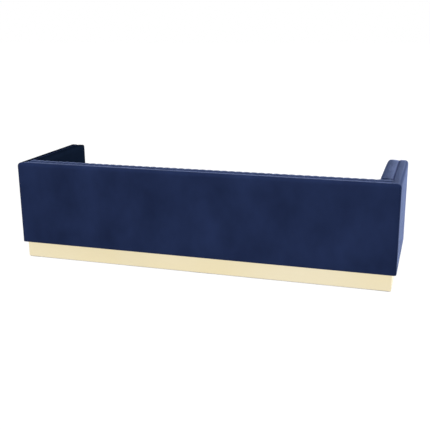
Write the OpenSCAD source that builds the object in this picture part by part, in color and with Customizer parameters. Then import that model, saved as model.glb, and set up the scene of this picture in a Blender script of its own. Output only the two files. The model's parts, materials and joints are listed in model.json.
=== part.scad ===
// Upholstered banquette bench: a straight three-seat shell with level back and arms, inner pads,
// loose seat cushions and a recessed metal-faced plinth on levelling feet.
// The frame stands on z = 0 at the middle of the floor plan. The sitter faces -Y and +X is the sitter's left.

/* [Overall size] */
// Length over the two arms
overall_length = 2640; // [2000:10:3200]
// Depth from the front of the arms to the rear face
overall_depth = 800; // [720:10:900]
// Height of the outer shell's top edge above the floor
shell_height = 700; // [660:5:860]
// Height of the outer shell's lower edge above the floor
shell_bottom = 118; // [100:1:150]

/* [Shell walls] */
// Thickness of the outer shell of the back and arms, with its cover
shell_t = 60; // [46:1:70]
// Thickness of the fitted inner pads
pad_t = 83; // [50:1:95]
// How far the inner pads stand over the shell's top edge
pad_rise = 4; // [0:1:15]
// Thickness of the velvet cover with its backing
cover_t = 2; // [1:0.5:3]
// Thickness of the wadding under the outer cover
wadding_t = 8; // [4:1:10]
// Thickness of the outer boards of the back and arms
outer_board_t = 5; // [3:1:8]
// Thickness of the boards behind the inner pads
pad_board_t = 9; // [6:1:15]
// Radius of the shell's outer edges
edge_r = 22; // [14:1:30]
// Radius of the shell's front edges
front_edge_r = 14; // [6:1:20]
// Radius of the shell's inner edges, beside the pads
seam_r = 8; // [4:1:12]
// How far the outer cover turns in behind the pads
cover_return = 55; // [30:1:80]

/* [Inner pads] */
// Radius of the pads' top edge
pad_edge_r = 24; // [12:1:32]
// Radius of the arm pads' front corner
pad_front_r = 32; // [20:1:40]
// How much fuller an arm pad is in its middle
pad_crown = 5; // [1:1:10]
// Width of one sewn channel of the back pad
channel_pitch = 51; // [50:1:120]
// Depth of the seams between the channels
channel_depth = 6; // [4:1:16]
// Thickness of a pad's cover and fibre wrap over its foam
pad_wrap_t = 6; // [3:1:8]
// Setback of the arm pads from the front of the shell
pad_front_set = 2; // [0:1:10]

/* [Seat] */
// Thickness of a seat cushion at its border
cushion_t = 145; // [110:5:180]
// Rise of a cushion's top in its middle
cushion_crown = 16; // [6:1:30]
// How far a cushion's sides draw in between its corners
cushion_pull = 7; // [3:1:12]
// How far a cushion's border swells out between its two seams
cushion_swell = 5; // [2:1:7]
// Corner radius of a cushion, seen from above
cushion_corner_r = 28; // [15:1:45]
// Gap between a cushion and what stands beside it
cushion_gap = 2; // [1:0.5:6]
// Setback of the cushions from the front of the arms
cushion_front_set = 6; // [2:1:20]
// Thickness of a cushion's cover and fibre wrap over its foam
cushion_wrap_t = 5; // [3:1:10]
// Setback of the front rail from the front of the arms
front_set = 10; // [4:1:20]
// Thickness of the padding on the front rail
front_pad_t = 12; // [6:1:20]
// Thickness of the foam over the webbing
deck_foam_t = 25; // [15:1:40]

/* [Timber frame] */
// Height of the seat rails and of the lower rails of the back and arms
seat_rail_h = 130; // [110:1:150]
// Thickness of the seat rails
seat_rail_t = 30; // [25:1:40]
// Height of the top rails and width of the posts
post_w = 45; // [35:1:60]
// Number of posts in the back
back_post_count = 5; // [3:2:9]
// Height that the seat's cross rails stay below the webbing
cross_rail_drop = 20; // [10:1:35]

/* [Webbing] */
// Width of a webbing strap
strap_w = 50; // [40:1:80]
// Thickness of a webbing strap
strap_t = 2; // [1:0.5:3]
// Spacing of the straps that run front to rear
strap_pitch = 100; // [85:5:140]
// Number of straps that run along the seat
long_strap_count = 4; // [2:1:5]

/* [Plinth] */
// Setback of the plinth from the faces of the shell
plinth_inset = 28; // [15:1:60]
// Thickness of the metal facing
skirt_t = 1.5; // [1:0.1:2]
// Height of the facing's lower edge above the floor
skirt_floor_gap = 5; // [3:1:12]
// Gap between the facing and the shell
skirt_top_gap = 1; // [0.5:0.5:2]
// Thickness of the plinth's boards
plinth_board_t = 18; // [15:1:25]
// Height of the plinth boards above the floor
plinth_board_lift = 8; // [6:1:15]
// Side of the square block over each levelling foot
block_side = 70; // [60:1:100]
// Height of the blocks' lower face above the floor
block_lift = 18; // [17:1:19]

/* [Levelling feet] */
// Diameter of the pad of a foot
foot_d = 44; // [30:1:56]
// Height of the pad of a foot
foot_h = 9; // [8:1:10]
// Thread diameter of a foot's stem
stem_d = 8; // [8:1:10]
// How far a foot can be screwed out
foot_travel = 15; // [10:1:18]

/* [Fasteners] */
// Shank diameter of the coach screws
coach_d = 8; // [6:1:8]
// Shank length of the coach screws
coach_l = 52; // [45:1:54]
// Shank diameter of the pad screws
pad_screw_d = 5; // [4:0.5:6]
// Number of pad screws along the back's top rail
back_screw_count = 8; // [4:1:12]

/* [Hidden] */
$fn = 48;
cut_over = 5;
glue_gap = 0.1;
half_length = overall_length / 2;
half_depth = overall_depth / 2;

// Planes of the shell walls, from the outside inwards
shell_in_x = half_length - shell_t;
shell_in_y = half_depth - shell_t;
core_out_x = half_length - cover_t - wadding_t;
core_out_y = half_depth - cover_t - wadding_t;
frame_out_x = core_out_x - outer_board_t;
frame_out_y = core_out_y - outer_board_t;
frame_in_x = shell_in_x + cover_t;
frame_in_y = shell_in_y + cover_t;
frame_front_y = -core_out_y;
frame_top = shell_height - cover_t - wadding_t;
frame_bottom = shell_bottom + cover_t;
rail_top = frame_bottom + seat_rail_h;
top_rail_z = frame_top - post_w;

// Planes of the seat, from the front and from below
front_face_y = front_set - half_depth;
front_rail_y = front_face_y + cover_t + front_pad_t;
seat_front_y = front_rail_y + seat_rail_t;
seat_rear_y = shell_in_y - seat_rail_t;
seat_end_x = shell_in_x - seat_rail_t;
strap_top = rail_top + 2 * strap_t + glue_gap;
deck_foam_top = strap_top + deck_foam_t;
deck_top = deck_foam_top + cover_t;
front_roll_r = 18;
front_hem_r = 5;
front_return = 50;
cross_rail_share = 0.5;
strap_inset = 6;

// Faces of the inner pads
pad_face_x = shell_in_x - pad_t;
pad_face_y = shell_in_y - pad_t;
pad_top = shell_height + pad_rise;
pad_h = pad_top - deck_top;
pad_hem_r = 6;
arm_pad_front_y = pad_front_set - half_depth;
arm_pad_l = pad_face_y - arm_pad_front_y;
back_pad_l = 2 * shell_in_x;
channel_count = max(2, round(back_pad_l / channel_pitch));
pad_core_t = pad_t - pad_wrap_t - max(channel_depth, pad_crown);
pad_core_margin = pad_wrap_t + channel_depth;

// Seat cushions
rest_gap = 0.3;
cushion_bottom = deck_top + rest_gap;
cushion_w = (2 * pad_face_x - 4 * cushion_gap) / 3;
cushion_front_y = cushion_front_set - half_depth;
cushion_rear_y = pad_face_y - cushion_gap;
cushion_depth = cushion_rear_y - cushion_front_y;
cushion_y = (cushion_front_y + cushion_rear_y) / 2;
cushion_step = cushion_w + cushion_gap;
seam_lift = 9;
seam_tuck = 3;
hem_tuck = 11;
core_margin = cushion_pull + cushion_wrap_t;
core_r = 18;
zip_share = 0.8;
zip_h = 9;
zip_t = 1.6;
slider_l = 12;
slider_t = 1.2;

// Plinth
plinth_x = half_length - plinth_inset;
plinth_y = half_depth - plinth_inset;
plinth_in_x = plinth_x - skirt_t;
plinth_in_y = plinth_y - skirt_t;
plinth_core_x = plinth_in_x - plinth_board_t;
plinth_core_y = plinth_in_y - plinth_board_t;
skirt_top = shell_bottom - skirt_top_gap;
plinth_cross_count = 4;

// Levelling feet
foot_x = plinth_core_x - block_side / 2;
foot_y = plinth_core_y - block_side / 2;
foot_edge_r = 2;
socket_room = 1.5;
socket_d = stem_d + 2 * socket_room;
socket_depth = 5;
turn_gap = 0.05;
collar_gap = 0.3;
collar_h = 5;
collar_d = 2 * stem_d;
insert_wall = 1.5;
insert_d = stem_d + 2 * insert_wall;
insert_h = 20;
insert_flange_d = 22;
insert_flange_t = 1.5;
stem_spare = 8;
stem_thread_l = block_lift + insert_h + foot_travel + stem_spare - foot_h - collar_gap - collar_h;
stem_room = 1;
stem_bore_d = stem_d + 2 * stem_room;

// Fasteners
coach_head_d = 15;
coach_head_h = 5.5;
coach_point_h = 6;
coach_sink = 7;
coach_well_room = 2;
coach_well_d = coach_head_d + 2 * coach_well_room;
coach_plinth_l = 20;
coach_offset = 22;
coach_end_margin = 60;
coach_z = frame_bottom + seat_rail_h / 2;
back_coach_shares = [-0.92, -0.46, 0, 0.46, 0.92];
pad_screw_l = frame_out_x - shell_in_x + pad_board_t - 1.5 * cover_t;
pad_screw_head_d = 2 * pad_screw_d;
pad_screw_head_h = pad_screw_d / 2;
pad_screw_rise = 45;
pad_screw_margin = 70;
arm_screw_edge = 10;

// Finishes
velvet = [0.14, 0.18, 0.36];
velvet_deep = [0.10, 0.13, 0.28];
gold = [0.90, 0.85, 0.68];
timber = [0.82, 0.68, 0.47];
board_tone = [0.76, 0.60, 0.40];
foam = [0.93, 0.88, 0.62];
fleece = [0.92, 0.92, 0.90];
webbing_tone = [0.30, 0.28, 0.26];
cloth_black = [0.10, 0.10, 0.11];
zinc = [0.72, 0.74, 0.76];
nylon = [0.12, 0.12, 0.13];
brass = [0.78, 0.64, 0.34];

// Box between two corners
module block(low, high) {
    translate(low) cube(high - low);
}

// Draws its children on the left (+X) when side is 1, or mirrored on the right when it is -1
module on_side(side) {
    if (side > 0) children();
    else mirror([1, 0, 0]) children();
}

// Rectangle with a radius for each corner, counted from the low corner towards +X and round
module rounded_rect(low, high, radii) {
    corners = [low, [high.x, low.y], high, [low.x, high.y]];
    difference() {
        translate(low) square(high - low);
        for (i = [0:3])
            if (radii[i] > 0)
                translate(corners[i]) rotate(90 * i) difference() {
                    translate([-cut_over, -cut_over]) square(radii[i] + cut_over);
                    translate([radii[i], radii[i]]) circle(radii[i]);
                }
    }
}

// Extrudes an outline of depth (Y) and height (Z) along X, from x = from_x
module along_x(from_x, length) {
    translate([from_x, 0, 0]) rotate([90, 0, 90]) linear_extrude(length) children();
}

// Extrudes an outline of length (X) and height (Z) along Y, up to y = to_y
module along_y(to_y, length) {
    translate([0, to_y, 0]) rotate([90, 0, 0]) linear_extrude(length) children();
}

// One arm wall of the shell on the left, moved in from its faces by inset, mitred at the rear corner
module arm_wall(inset) {
    low_z = shell_bottom + inset;
    high_z = shell_height - inset;
    front_r = front_edge_r - inset;
    mitre_over = half_length + cut_over - shell_in_x;
    intersection() {
        along_y(half_depth, overall_depth)
            rounded_rect(
                [shell_in_x + inset, low_z], [half_length - inset, high_z],
                [0, 0, edge_r - inset, seam_r - inset]
            );
        linear_extrude(shell_height + cut_over) intersection() {
            rounded_rect(
                [shell_in_x + inset, inset - half_depth], [half_length - inset, half_depth - inset],
                [seam_r - inset, front_r, edge_r - inset, 0]
            );
            polygon([
                [shell_in_x - cut_over, -half_depth - cut_over],
                [half_length + cut_over, -half_depth - cut_over],
                [half_length + cut_over, shell_in_y + mitre_over],
                [shell_in_x - cut_over, shell_in_y - cut_over]
            ]);
        }
        along_x(shell_in_x, shell_t)
            rounded_rect([inset - half_depth, low_z], [half_depth + cut_over, high_z], [0, 0, 0, front_r]);
    }
}

// The back wall of the shell, moved in from its faces by inset, mitred at both ends
module back_wall(inset) {
    low_z = shell_bottom + inset;
    high_z = shell_height - inset;
    intersection() {
        along_x(-half_length, overall_length)
            rounded_rect(
                [shell_in_y + inset, low_z], [half_depth - inset, high_z],
                [0, 0, edge_r - inset, seam_r - inset]
            );
        linear_extrude(shell_height + cut_over) intersection() {
            rounded_rect(
                [inset - half_length, shell_in_y], [half_length - inset, half_depth - inset],
                [0, 0, edge_r - inset, edge_r - inset]
            );
            polygon([
                [-shell_in_x, shell_in_y], [shell_in_x, shell_in_y],
                [half_length, half_depth], [-half_length, half_depth]
            ]);
        }
    }
}

// Outer velvet cover of the back: it wraps the wall and turns in behind the back pad
module back_cover() {
    window_x = shell_in_x - cover_return;
    color(velvet) difference() {
        back_wall(0);
        back_wall(cover_t);
        block(
            [-window_x, shell_in_y - cut_over, shell_bottom + cover_return],
            [window_x, frame_in_y + cut_over, shell_height - cover_return]
        );
        at_back_pad_screws() pad_screw(0);
    }
}

// Outer velvet cover of an arm
module arm_cover(side) {
    color(velvet) on_side(side) difference() {
        arm_wall(0);
        arm_wall(cover_t);
        block(
            [shell_in_x - cut_over, cover_return - half_depth, shell_bottom + cover_return],
            [frame_in_x + cut_over, shell_in_y - cover_return, shell_height - cover_return]
        );
        at_arm_pad_screws(1) pad_screw(0);
    }
}

// Wadding under the outer covers: one layer over the outside, the top and the front end of each wall
module wall_wadding() {
    color(fleece) {
        difference() {
            back_wall(cover_t);
            block([-half_length, 0, 0], [half_length, core_out_y, frame_top]);
        }
        for (side = [-1, 1])
            on_side(side) difference() {
                arm_wall(cover_t);
                block([0, frame_front_y, 0], [core_out_x, half_depth, frame_top]);
            }
    }
}

module back_outer_board() {
    color(board_tone)
        block([-frame_out_x, frame_out_y, frame_bottom], [frame_out_x, core_out_y, frame_top]);
}

module arm_outer_boards() {
    color(board_tone) for (side = [-1, 1])
        on_side(side)
            block([frame_out_x, frame_front_y, frame_bottom], [core_out_x, core_out_y, frame_top]);
}

// Places along a row of count items between -reach and reach
function row_places(count, reach) = [for (i = [0:count - 1]) reach * (2 * i / (count - 1) - 1)];

back_post_places = row_places(back_post_count, frame_out_x - post_w / 2);
back_screw_places = row_places(back_screw_count, pad_face_x - pad_screw_margin);
arm_front_post_y = frame_front_y + post_w / 2;
arm_rear_post_y = pad_face_y - post_w;
arm_mid_y = (arm_front_post_y + arm_rear_post_y) / 2;
arm_post_places = [arm_front_post_y, arm_mid_y, arm_rear_post_y];
arm_screw_places = [arm_front_post_y + post_w / 2 - arm_screw_edge, arm_mid_y, arm_rear_post_y];
arm_coach_places = [for (k = [-1:1])
    (seat_front_y + seat_rear_y) / 2 + k * ((seat_rear_y - seat_front_y) / 2 - coach_end_margin)];
low_screw_z = deck_top + pad_screw_rise;
high_screw_z = frame_top - post_w / 2;
inner_posts = [for (x = back_post_places) if (abs(x) < pad_face_x - post_w) x];

// A coach screw pointing along +Z, with the underside of its head at z = 0
module coach_screw() {
    translate([0, 0, -coach_head_h]) cylinder(d = coach_head_d, h = coach_head_h, $fn = 6);
    cylinder(d = coach_d, h = coach_l - coach_point_h);
    translate([0, 0, coach_l - coach_point_h]) cylinder(d1 = coach_d, d2 = coach_d / 4, h = coach_point_h);
}

// Its hole, with a well for the head
module coach_hole(well) {
    if (well > 0) translate([0, 0, -well]) cylinder(d = coach_well_d, h = well);
    cylinder(d = coach_d, h = coach_l);
}

// A countersunk pad screw pointing along +Z, with its head's face at z = 0
module pad_screw(grow) {
    if (grow > 0) translate([0, 0, -grow]) cylinder(d = pad_screw_head_d, h = grow);
    cylinder(d1 = pad_screw_head_d, d2 = pad_screw_d, h = pad_screw_head_h);
    cylinder(d = pad_screw_d, h = pad_screw_l);
}

// Where the screws stand: each module turns a screw's +Z to its own direction
module at_back_coach_screws() {
    for (share = back_coach_shares)
        translate([share * shell_in_x, frame_out_y - coach_sink, coach_z]) rotate([90, 0, 0]) children();
}

module at_arm_coach_screws(side) {
    for (y = arm_coach_places)
        on_side(side)
            translate([frame_out_x - coach_sink, y, coach_z]) rotate([0, -90, 0]) children();
}

module at_plinth_coach_screws() {
    for (sx = [-1, 0, 1], sy = [-1, 1])
        translate([
            sx * (shell_in_x - seat_rail_t / 2), sy * (foot_y - coach_offset),
            shell_bottom - coach_plinth_l
        ]) children();
}

module at_back_pad_screws() {
    for (x = back_screw_places)
        translate([x, frame_out_y, high_screw_z]) rotate([90, 0, 0]) children();
    for (x = inner_posts)
        translate([x, frame_out_y, low_screw_z]) rotate([90, 0, 0]) children();
}

module at_arm_pad_screws(side) {
    for (y = arm_screw_places, z = [low_screw_z, high_screw_z])
        on_side(side) translate([frame_out_x, y, z]) rotate([0, -90, 0]) children();
}

module frame_coach_screws() {
    color(zinc) {
        at_back_coach_screws() coach_screw();
        for (side = [-1, 1]) at_arm_coach_screws(side) coach_screw();
        at_plinth_coach_screws() coach_screw();
    }
}

module pad_screws() {
    color(zinc) {
        at_back_pad_screws() pad_screw(0);
        for (side = [-1, 1]) at_arm_pad_screws(side) pad_screw(0);
    }
}

module back_top_rail() {
    color(timber) difference() {
        block([-frame_out_x, frame_in_y, top_rail_z], [frame_out_x, frame_out_y, frame_top]);
        at_back_pad_screws() pad_screw(cut_over);
    }
}

module back_bottom_rail() {
    color(timber) difference() {
        block([-frame_out_x, frame_in_y, frame_bottom], [frame_out_x, frame_out_y, rail_top]);
        at_back_coach_screws() coach_hole(coach_sink + cut_over);
    }
}

module back_posts() {
    color(timber) difference() {
        for (x = back_post_places)
            block([x - post_w / 2, frame_in_y, rail_top], [x + post_w / 2, frame_out_y, top_rail_z]);
        at_back_pad_screws() pad_screw(cut_over);
    }
}

// Timber frame of an arm: lower rail, top rail and three posts, each with its glue lines
module arm_frame(side) {
    color(timber) {
        difference() {
            on_side(side)
                block([frame_in_x, frame_front_y, frame_bottom], [frame_out_x, frame_in_y, rail_top]);
            at_arm_coach_screws(side) coach_hole(coach_sink + cut_over);
        }
        difference() {
            on_side(side) {
                block([frame_in_x, frame_front_y, top_rail_z], [frame_out_x, frame_in_y, frame_top]);
                for (y = arm_post_places)
                    block(
                        [frame_in_x, y - post_w / 2, rail_top + glue_gap],
                        [frame_out_x, y + post_w / 2, top_rail_z - glue_gap]
                    );
            }
            at_arm_pad_screws(side) pad_screw(cut_over);
        }
    }
}

// Pad form: u runs along the pad, w up it and t out from the wall to the face.
// back_off says how far the surface lies inside the full pad at each station along u.
pad_arc_step = 30;
function arc_step(r, a) = [r * (1 - cos(a)), r * (1 - sin(a))];

function pad_row(u, back, h, t, r) =
    let (e = max(0, back - r + 2 * cover_t), re = r - back + e, cw = h - r - e, ct = t - r - e)
    concat(
        [[u, 0, t - back - pad_hem_r], [u, pad_hem_r, t - back]],
        [for (a = [0:pad_arc_step:90]) [u, cw + re * sin(a), ct + re * cos(a)]]
    );

// Closed pad from stations [u, back_off]: the face's rows, then the low and high lines on the wall plane
module pad_form(stations, h, t, r) {
    rows = [for (s = stations) pad_row(s[0], s[1], h, t, r)];
    nu = len(rows);
    nw = len(rows[0]);
    low = nu * nw;
    high = low + nu;
    last = nu - 1;
    polyhedron(
        points = concat(
            [for (row = rows) each row],
            [for (row = rows) [row[0].x, row[0].y, 0]],
            [for (row = rows) [row[nw - 1].x, row[nw - 1].y, 0]]
        ),
        faces = concat(
            [for (i = [0:nu - 2], j = [0:nw - 2]) each [
                [i * nw + j, i * nw + j + 1, (i + 1) * nw + j + 1],
                [i * nw + j, (i + 1) * nw + j + 1, (i + 1) * nw + j]
            ]],
            [for (i = [0:nu - 2]) each [
                [i * nw, (i + 1) * nw, low + i + 1], [i * nw, low + i + 1, low + i],
                [i * nw + nw - 1, high + i + 1, (i + 1) * nw + nw - 1],
                [i * nw + nw - 1, high + i, high + i + 1],
                [low + i, low + i + 1, high + i + 1], [low + i, high + i + 1, high + i]
            ]],
            [for (j = [0:nw - 2]) each [[low, j + 1, j], [low + last, last * nw + j, last * nw + j + 1]]],
            [[low, high, nw - 1], [low + last, low - 1, high + last]]
        )
    );
}

// Stations of the channelled back pad: three spans to a channel, deepest at each seam
channel_w = back_pad_l / channel_count;
channel_steps = 3;
function back_pad_stations() = [for (i = [0:channel_count * channel_steps])
    let (x = (i % channel_steps) / channel_steps)
    [i * channel_w / channel_steps, channel_depth * pow(2 * x - 1, 2)]];

// Stations of an arm pad from its rear end to its round front corner
arm_pad_spans = 8;
function arm_pad_crown_at(u) = pad_crown * pow(2 * u / arm_pad_l - 1, 2);
function arm_pad_stations() = concat(
    [[0, pad_crown + pad_hem_r / 2]],
    [for (i = [0:arm_pad_spans])
        let (u = pad_hem_r + i * (arm_pad_l - pad_hem_r - pad_front_r) / arm_pad_spans)
        [u, arm_pad_crown_at(u)]],
    [for (a = [75:-15:0])
        let (d = arc_step(pad_front_r, a)) [arm_pad_l - d[0], d[1] + arm_pad_crown_at(arm_pad_l - d[0])]]
);

// Places the pad form on the back wall, or on an arm wall in front of the back pad's face
module on_back_wall() {
    translate([-shell_in_x, shell_in_y, deck_top]) rotate([90, 0, 0]) children();
}

module on_arm_wall(side) {
    on_side(side)
        translate([shell_in_x, pad_face_y, deck_top]) rotate([90, 0, -90]) children();
}

// Foam block and board of a pad, in the form's own u, w and t
module pad_core(length, from_t, to_t) {
    translate([pad_core_margin, pad_core_margin, from_t])
        cube([length - 2 * pad_core_margin, pad_h - 2 * pad_core_margin, to_t - from_t]);
}

// An arm pad's core also stays behind the round front corner
module arm_pad_core(from_t, to_t) {
    translate([pad_core_margin, pad_core_margin, from_t])
        cube([arm_pad_l - pad_core_margin - pad_front_r, pad_h - 2 * pad_core_margin, to_t - from_t]);
}

module back_pad_cover() {
    color(velvet) difference() {
        on_back_wall() pad_form(back_pad_stations(), pad_h, pad_t, pad_edge_r);
        on_back_wall() pad_core(back_pad_l, -cut_over, pad_core_t);
    }
}

module back_pad_foam() {
    color(foam) on_back_wall() pad_core(back_pad_l, pad_board_t, pad_core_t);
}

module back_pad_board() {
    color(board_tone) difference() {
        on_back_wall() pad_core(back_pad_l, 0, pad_board_t);
        at_back_pad_screws() pad_screw(0);
    }
}

module arm_pad_cover(side) {
    color(velvet) difference() {
        on_arm_wall(side) pad_form(arm_pad_stations(), pad_h, pad_t, pad_edge_r);
        on_arm_wall(side) arm_pad_core(-cut_over, pad_core_t);
    }
}

module arm_pad_foam(side) {
    color(foam) on_arm_wall(side) arm_pad_core(pad_board_t, pad_core_t);
}

module arm_pad_boards() {
    color(board_tone) for (side = [-1, 1])
        difference() {
            on_arm_wall(side) arm_pad_core(0, pad_board_t);
            at_arm_pad_screws(side) pad_screw(0);
        }
}

module seat_front_rail() {
    color(timber) block([-shell_in_x, front_rail_y, frame_bottom], [shell_in_x, seat_front_y, rail_top]);
}

module seat_rear_rail() {
    color(timber) difference() {
        block([-shell_in_x, seat_rear_y, frame_bottom], [shell_in_x, shell_in_y, rail_top]);
        at_back_coach_screws() coach_hole(0);
    }
}

module seat_end_rails() {
    color(timber) difference() {
        for (side = [-1, 1])
            on_side(side)
                block([seat_end_x, seat_front_y, frame_bottom], [shell_in_x, seat_rear_y, rail_top]);
        for (side = [-1, 1]) at_arm_coach_screws(side) coach_hole(0);
        at_plinth_coach_screws() coach_hole(0);
    }
}

module seat_cross_rails() {
    color(timber) difference() {
        for (k = [-1:1]) {
            x = k * shell_in_x * cross_rail_share;
            block(
                [x - seat_rail_t / 2, seat_front_y, frame_bottom],
                [x + seat_rail_t / 2, seat_rear_y, rail_top - cross_rail_drop]
            );
        }
        at_plinth_coach_screws() coach_hole(0);
    }
}

// Elastic straps: one layer front to rear on the rails, and one along the seat that lies over it
module seat_webbing() {
    reach = seat_end_x - strap_w;
    count = floor(2 * reach / strap_pitch) + 1;
    places = row_places(count, reach);
    rows = row_places(long_strap_count, (seat_rear_y - seat_front_y) / 2 - strap_w);
    mid_y = (seat_front_y + seat_rear_y) / 2;
    color(webbing_tone) {
        for (x = places)
            block(
                [x - strap_w / 2, front_rail_y + strap_inset, rail_top],
                [x + strap_w / 2, shell_in_y - strap_inset, rail_top + strap_t]
            );
        for (y = rows)
            block(
                [strap_inset - shell_in_x, mid_y + y - strap_w / 2, rail_top + strap_t + glue_gap],
                [shell_in_x - strap_inset, mid_y + y + strap_w / 2, strap_top]
            );
    }
}

module deck_foam() {
    color(foam) block([-shell_in_x, seat_front_y, strap_top], [shell_in_x, shell_in_y, deck_foam_top]);
}

module deck_cloth() {
    color(velvet_deep)
        block([-shell_in_x, front_face_y + front_return, deck_foam_top], [shell_in_x, shell_in_y, deck_top]);
}

// Outline of the front rail's cover, moved in by inset
module front_outline(inset, rear_y) {
    rounded_rect(
        [front_face_y + inset, shell_bottom + inset], [rear_y, deck_top - inset],
        [front_hem_r - inset, 0, 0, front_roll_r - inset]
    );
}

module front_rail_cover() {
    rear_y = front_face_y + front_return;
    color(velvet) along_x(-shell_in_x, 2 * shell_in_x) difference() {
        front_outline(0, rear_y);
        front_outline(cover_t, rear_y + cut_over);
    }
}

module front_rail_padding() {
    color(foam) along_x(-shell_in_x, 2 * shell_in_x) difference() {
        front_outline(cover_t, seat_front_y);
        translate([front_rail_y, 0]) square([seat_rail_t + cut_over, rail_top]);
        translate([front_rail_y + strap_inset, 0]) square([seat_rail_t + cut_over, strap_top]);
    }
}

// Cushion form. A ring follows the rounded plan outline, drawn in towards the middle of each side.
corner_steps = 3;
side_spans = 6;
function pulled(v, half) = 1 - pow(v / half, 2);
function ring_corner(qx, qy, hx, hy, r) = [for (i = [0:corner_steps])
    let (a = 90 * i / corner_steps, s = qx * qy > 0 ? a : 90 - a)
    [qx * (hx - r + r * cos(s)), qy * (hy - r + r * sin(s))]];
function ring_side(p, q) = [for (i = [1:side_spans - 1]) p + (q - p) * i / side_spans];
function ring_outline(hx, hy, r) =
    let (
        a = ring_corner(1, 1, hx, hy, r), b = ring_corner(-1, 1, hx, hy, r),
        c = ring_corner(-1, -1, hx, hy, r), d = ring_corner(1, -1, hx, hy, r)
    )
    concat(
        a, ring_side(a[corner_steps], b[0]), b, ring_side(b[corner_steps], c[0]),
        c, ring_side(c[corner_steps], d[0]), d, ring_side(d[corner_steps], a[0])
    );
function cushion_ring(z, tuck, swell, scale_by) =
    let (hx = cushion_w / 2, hy = cushion_depth / 2, pull = cushion_pull - swell)
    [for (p = ring_outline(hx - tuck, hy - tuck, cushion_corner_r - tuck))
        let (
            on_end = abs(p.x) > hx - cushion_corner_r, on_face = abs(p.y) > hy - cushion_corner_r,
            dx = on_end ? pull * pulled(p.y, hy) * sign(p.x) : 0,
            dy = on_face ? pull * pulled(p.x, hx) * sign(p.y) : 0
        )
        [scale_by * (p.x - dx), scale_by * (p.y - dy), z]];

// Levels of the border as shares of its height between the seams, and how full it is there
border_shares = [0, 0.25, 0.5, 0.75, 1];
// The top's rings as shares of the plan size
top_shares = [0.97, 0.9, 0.75, 0.5, 0.25];
crown_power = 2.2;

module cushion_form() {
    border_h = cushion_t - 2 * seam_lift;
    rings = concat(
        [cushion_ring(0, hem_tuck, 0, 1), cushion_ring(seam_tuck, seam_tuck, 0, 1)],
        [for (s = border_shares) cushion_ring(seam_lift + s * border_h, 0, cushion_swell * sin(180 * s), 1)],
        [cushion_ring(cushion_t - seam_tuck, seam_tuck, 0, 1), cushion_ring(cushion_t, hem_tuck, 0, 1)],
        [for (k = top_shares)
            cushion_ring(cushion_t + cushion_crown * (1 - pow(k, crown_power)), hem_tuck, 0, k)]
    );
    n = len(rings[0]);
    m = len(rings);
    polyhedron(
        points = concat([for (r = rings) each r], [[0, 0, 0], [0, 0, cushion_t + cushion_crown]]),
        faces = concat(
            [for (j = [0:m - 2], i = [0:n - 1]) each [
                [j * n + i, (j + 1) * n + i, (j + 1) * n + (i + 1) % n],
                [j * n + i, (j + 1) * n + (i + 1) % n, j * n + (i + 1) % n]
            ]],
            [for (i = [0:n - 1]) [m * n, i, (i + 1) % n]],
            [for (i = [0:n - 1]) [m * n + 1, (m - 1) * n + (i + 1) % n, (m - 1) * n + i]]
        )
    );
}

module at_cushion(place) {
    translate([place * cushion_step, cushion_y, cushion_bottom]) children();
}

module cushion_core_block() {
    core = [cushion_w / 2 - core_margin, cushion_depth / 2 - core_margin];
    translate([0, 0, cushion_wrap_t])
        linear_extrude(cushion_t - 2 * cushion_wrap_t)
            rounded_rect(-core, core, [core_r, core_r, core_r, core_r]);
}

// The zip's opening in the rear border, from the foam out through the cover
zip_l = cushion_w * zip_share;
zip_rear_y = cushion_depth / 2 - cushion_pull;
module cushion_zip_slot(to_y) {
    block(
        [-zip_l / 2, cushion_depth / 2 - core_margin, (cushion_t - zip_h) / 2],
        [zip_l / 2, to_y, (cushion_t + zip_h) / 2]
    );
}

module seat_cushion_cover(place) {
    color(velvet) at_cushion(place) difference() {
        cushion_form();
        cushion_core_block();
        cushion_zip_slot(cushion_depth / 2 + cut_over);
    }
}

module seat_cushion_core(place) {
    color(foam) at_cushion(place) cushion_core_block();
}

// Zip tape with its row of teeth and slider, sunk in the slot
module seat_cushion_zip(place) {
    color(brass) at_cushion(place) {
        cushion_zip_slot(cushion_depth / 2 - core_margin + zip_t);
        block(
            [-zip_l / 2, cushion_depth / 2 - core_margin + zip_t, cushion_t / 2 - zip_t],
            [zip_l / 2, zip_rear_y - slider_t, cushion_t / 2 + zip_t]
        );
        block(
            [zip_l / 2 - 2 * slider_l, zip_rear_y - 2 * slider_t, cushion_t / 2 - 2 * zip_t],
            [zip_l / 2 - slider_l, zip_rear_y, cushion_t / 2 + 2 * zip_t]
        );
    }
}

module plinth_long_boards() {
    color(board_tone) for (sy = [-1, 1])
        block(
            [-plinth_in_x, min(sy * plinth_in_y, sy * plinth_core_y), plinth_board_lift],
            [plinth_in_x, max(sy * plinth_in_y, sy * plinth_core_y), shell_bottom]
        );
}

module plinth_cross_boards() {
    half_t = plinth_board_t / 2;
    color(board_tone) for (x = row_places(plinth_cross_count, plinth_in_x - half_t))
        block([x - half_t, -plinth_core_y, plinth_board_lift], [x + half_t, plinth_core_y, shell_bottom]);
}

// Where the feet stand: sx is 1 on the left, -1 on the right; sy is -1 at the front
module at_foot(sx, sy) {
    translate([sx * foot_x, sy * foot_y, 0]) children();
}

module leveller_blocks() {
    color(timber) for (sx = [-1, 0, 1], sy = [-1, 1])
        difference() {
            at_foot(sx, sy)
                block(
                    [-block_side / 2, -block_side / 2, block_lift],
                    [block_side / 2, block_side / 2, shell_bottom]
                );
            at_foot(sx, sy) cylinder(d = insert_d, h = block_lift + insert_h);
            at_foot(sx, sy)
                cylinder(d = stem_bore_d, h = foot_h + collar_h + stem_thread_l + cut_over);
            at_plinth_coach_screws() coach_hole(shell_bottom);
        }
}

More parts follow.
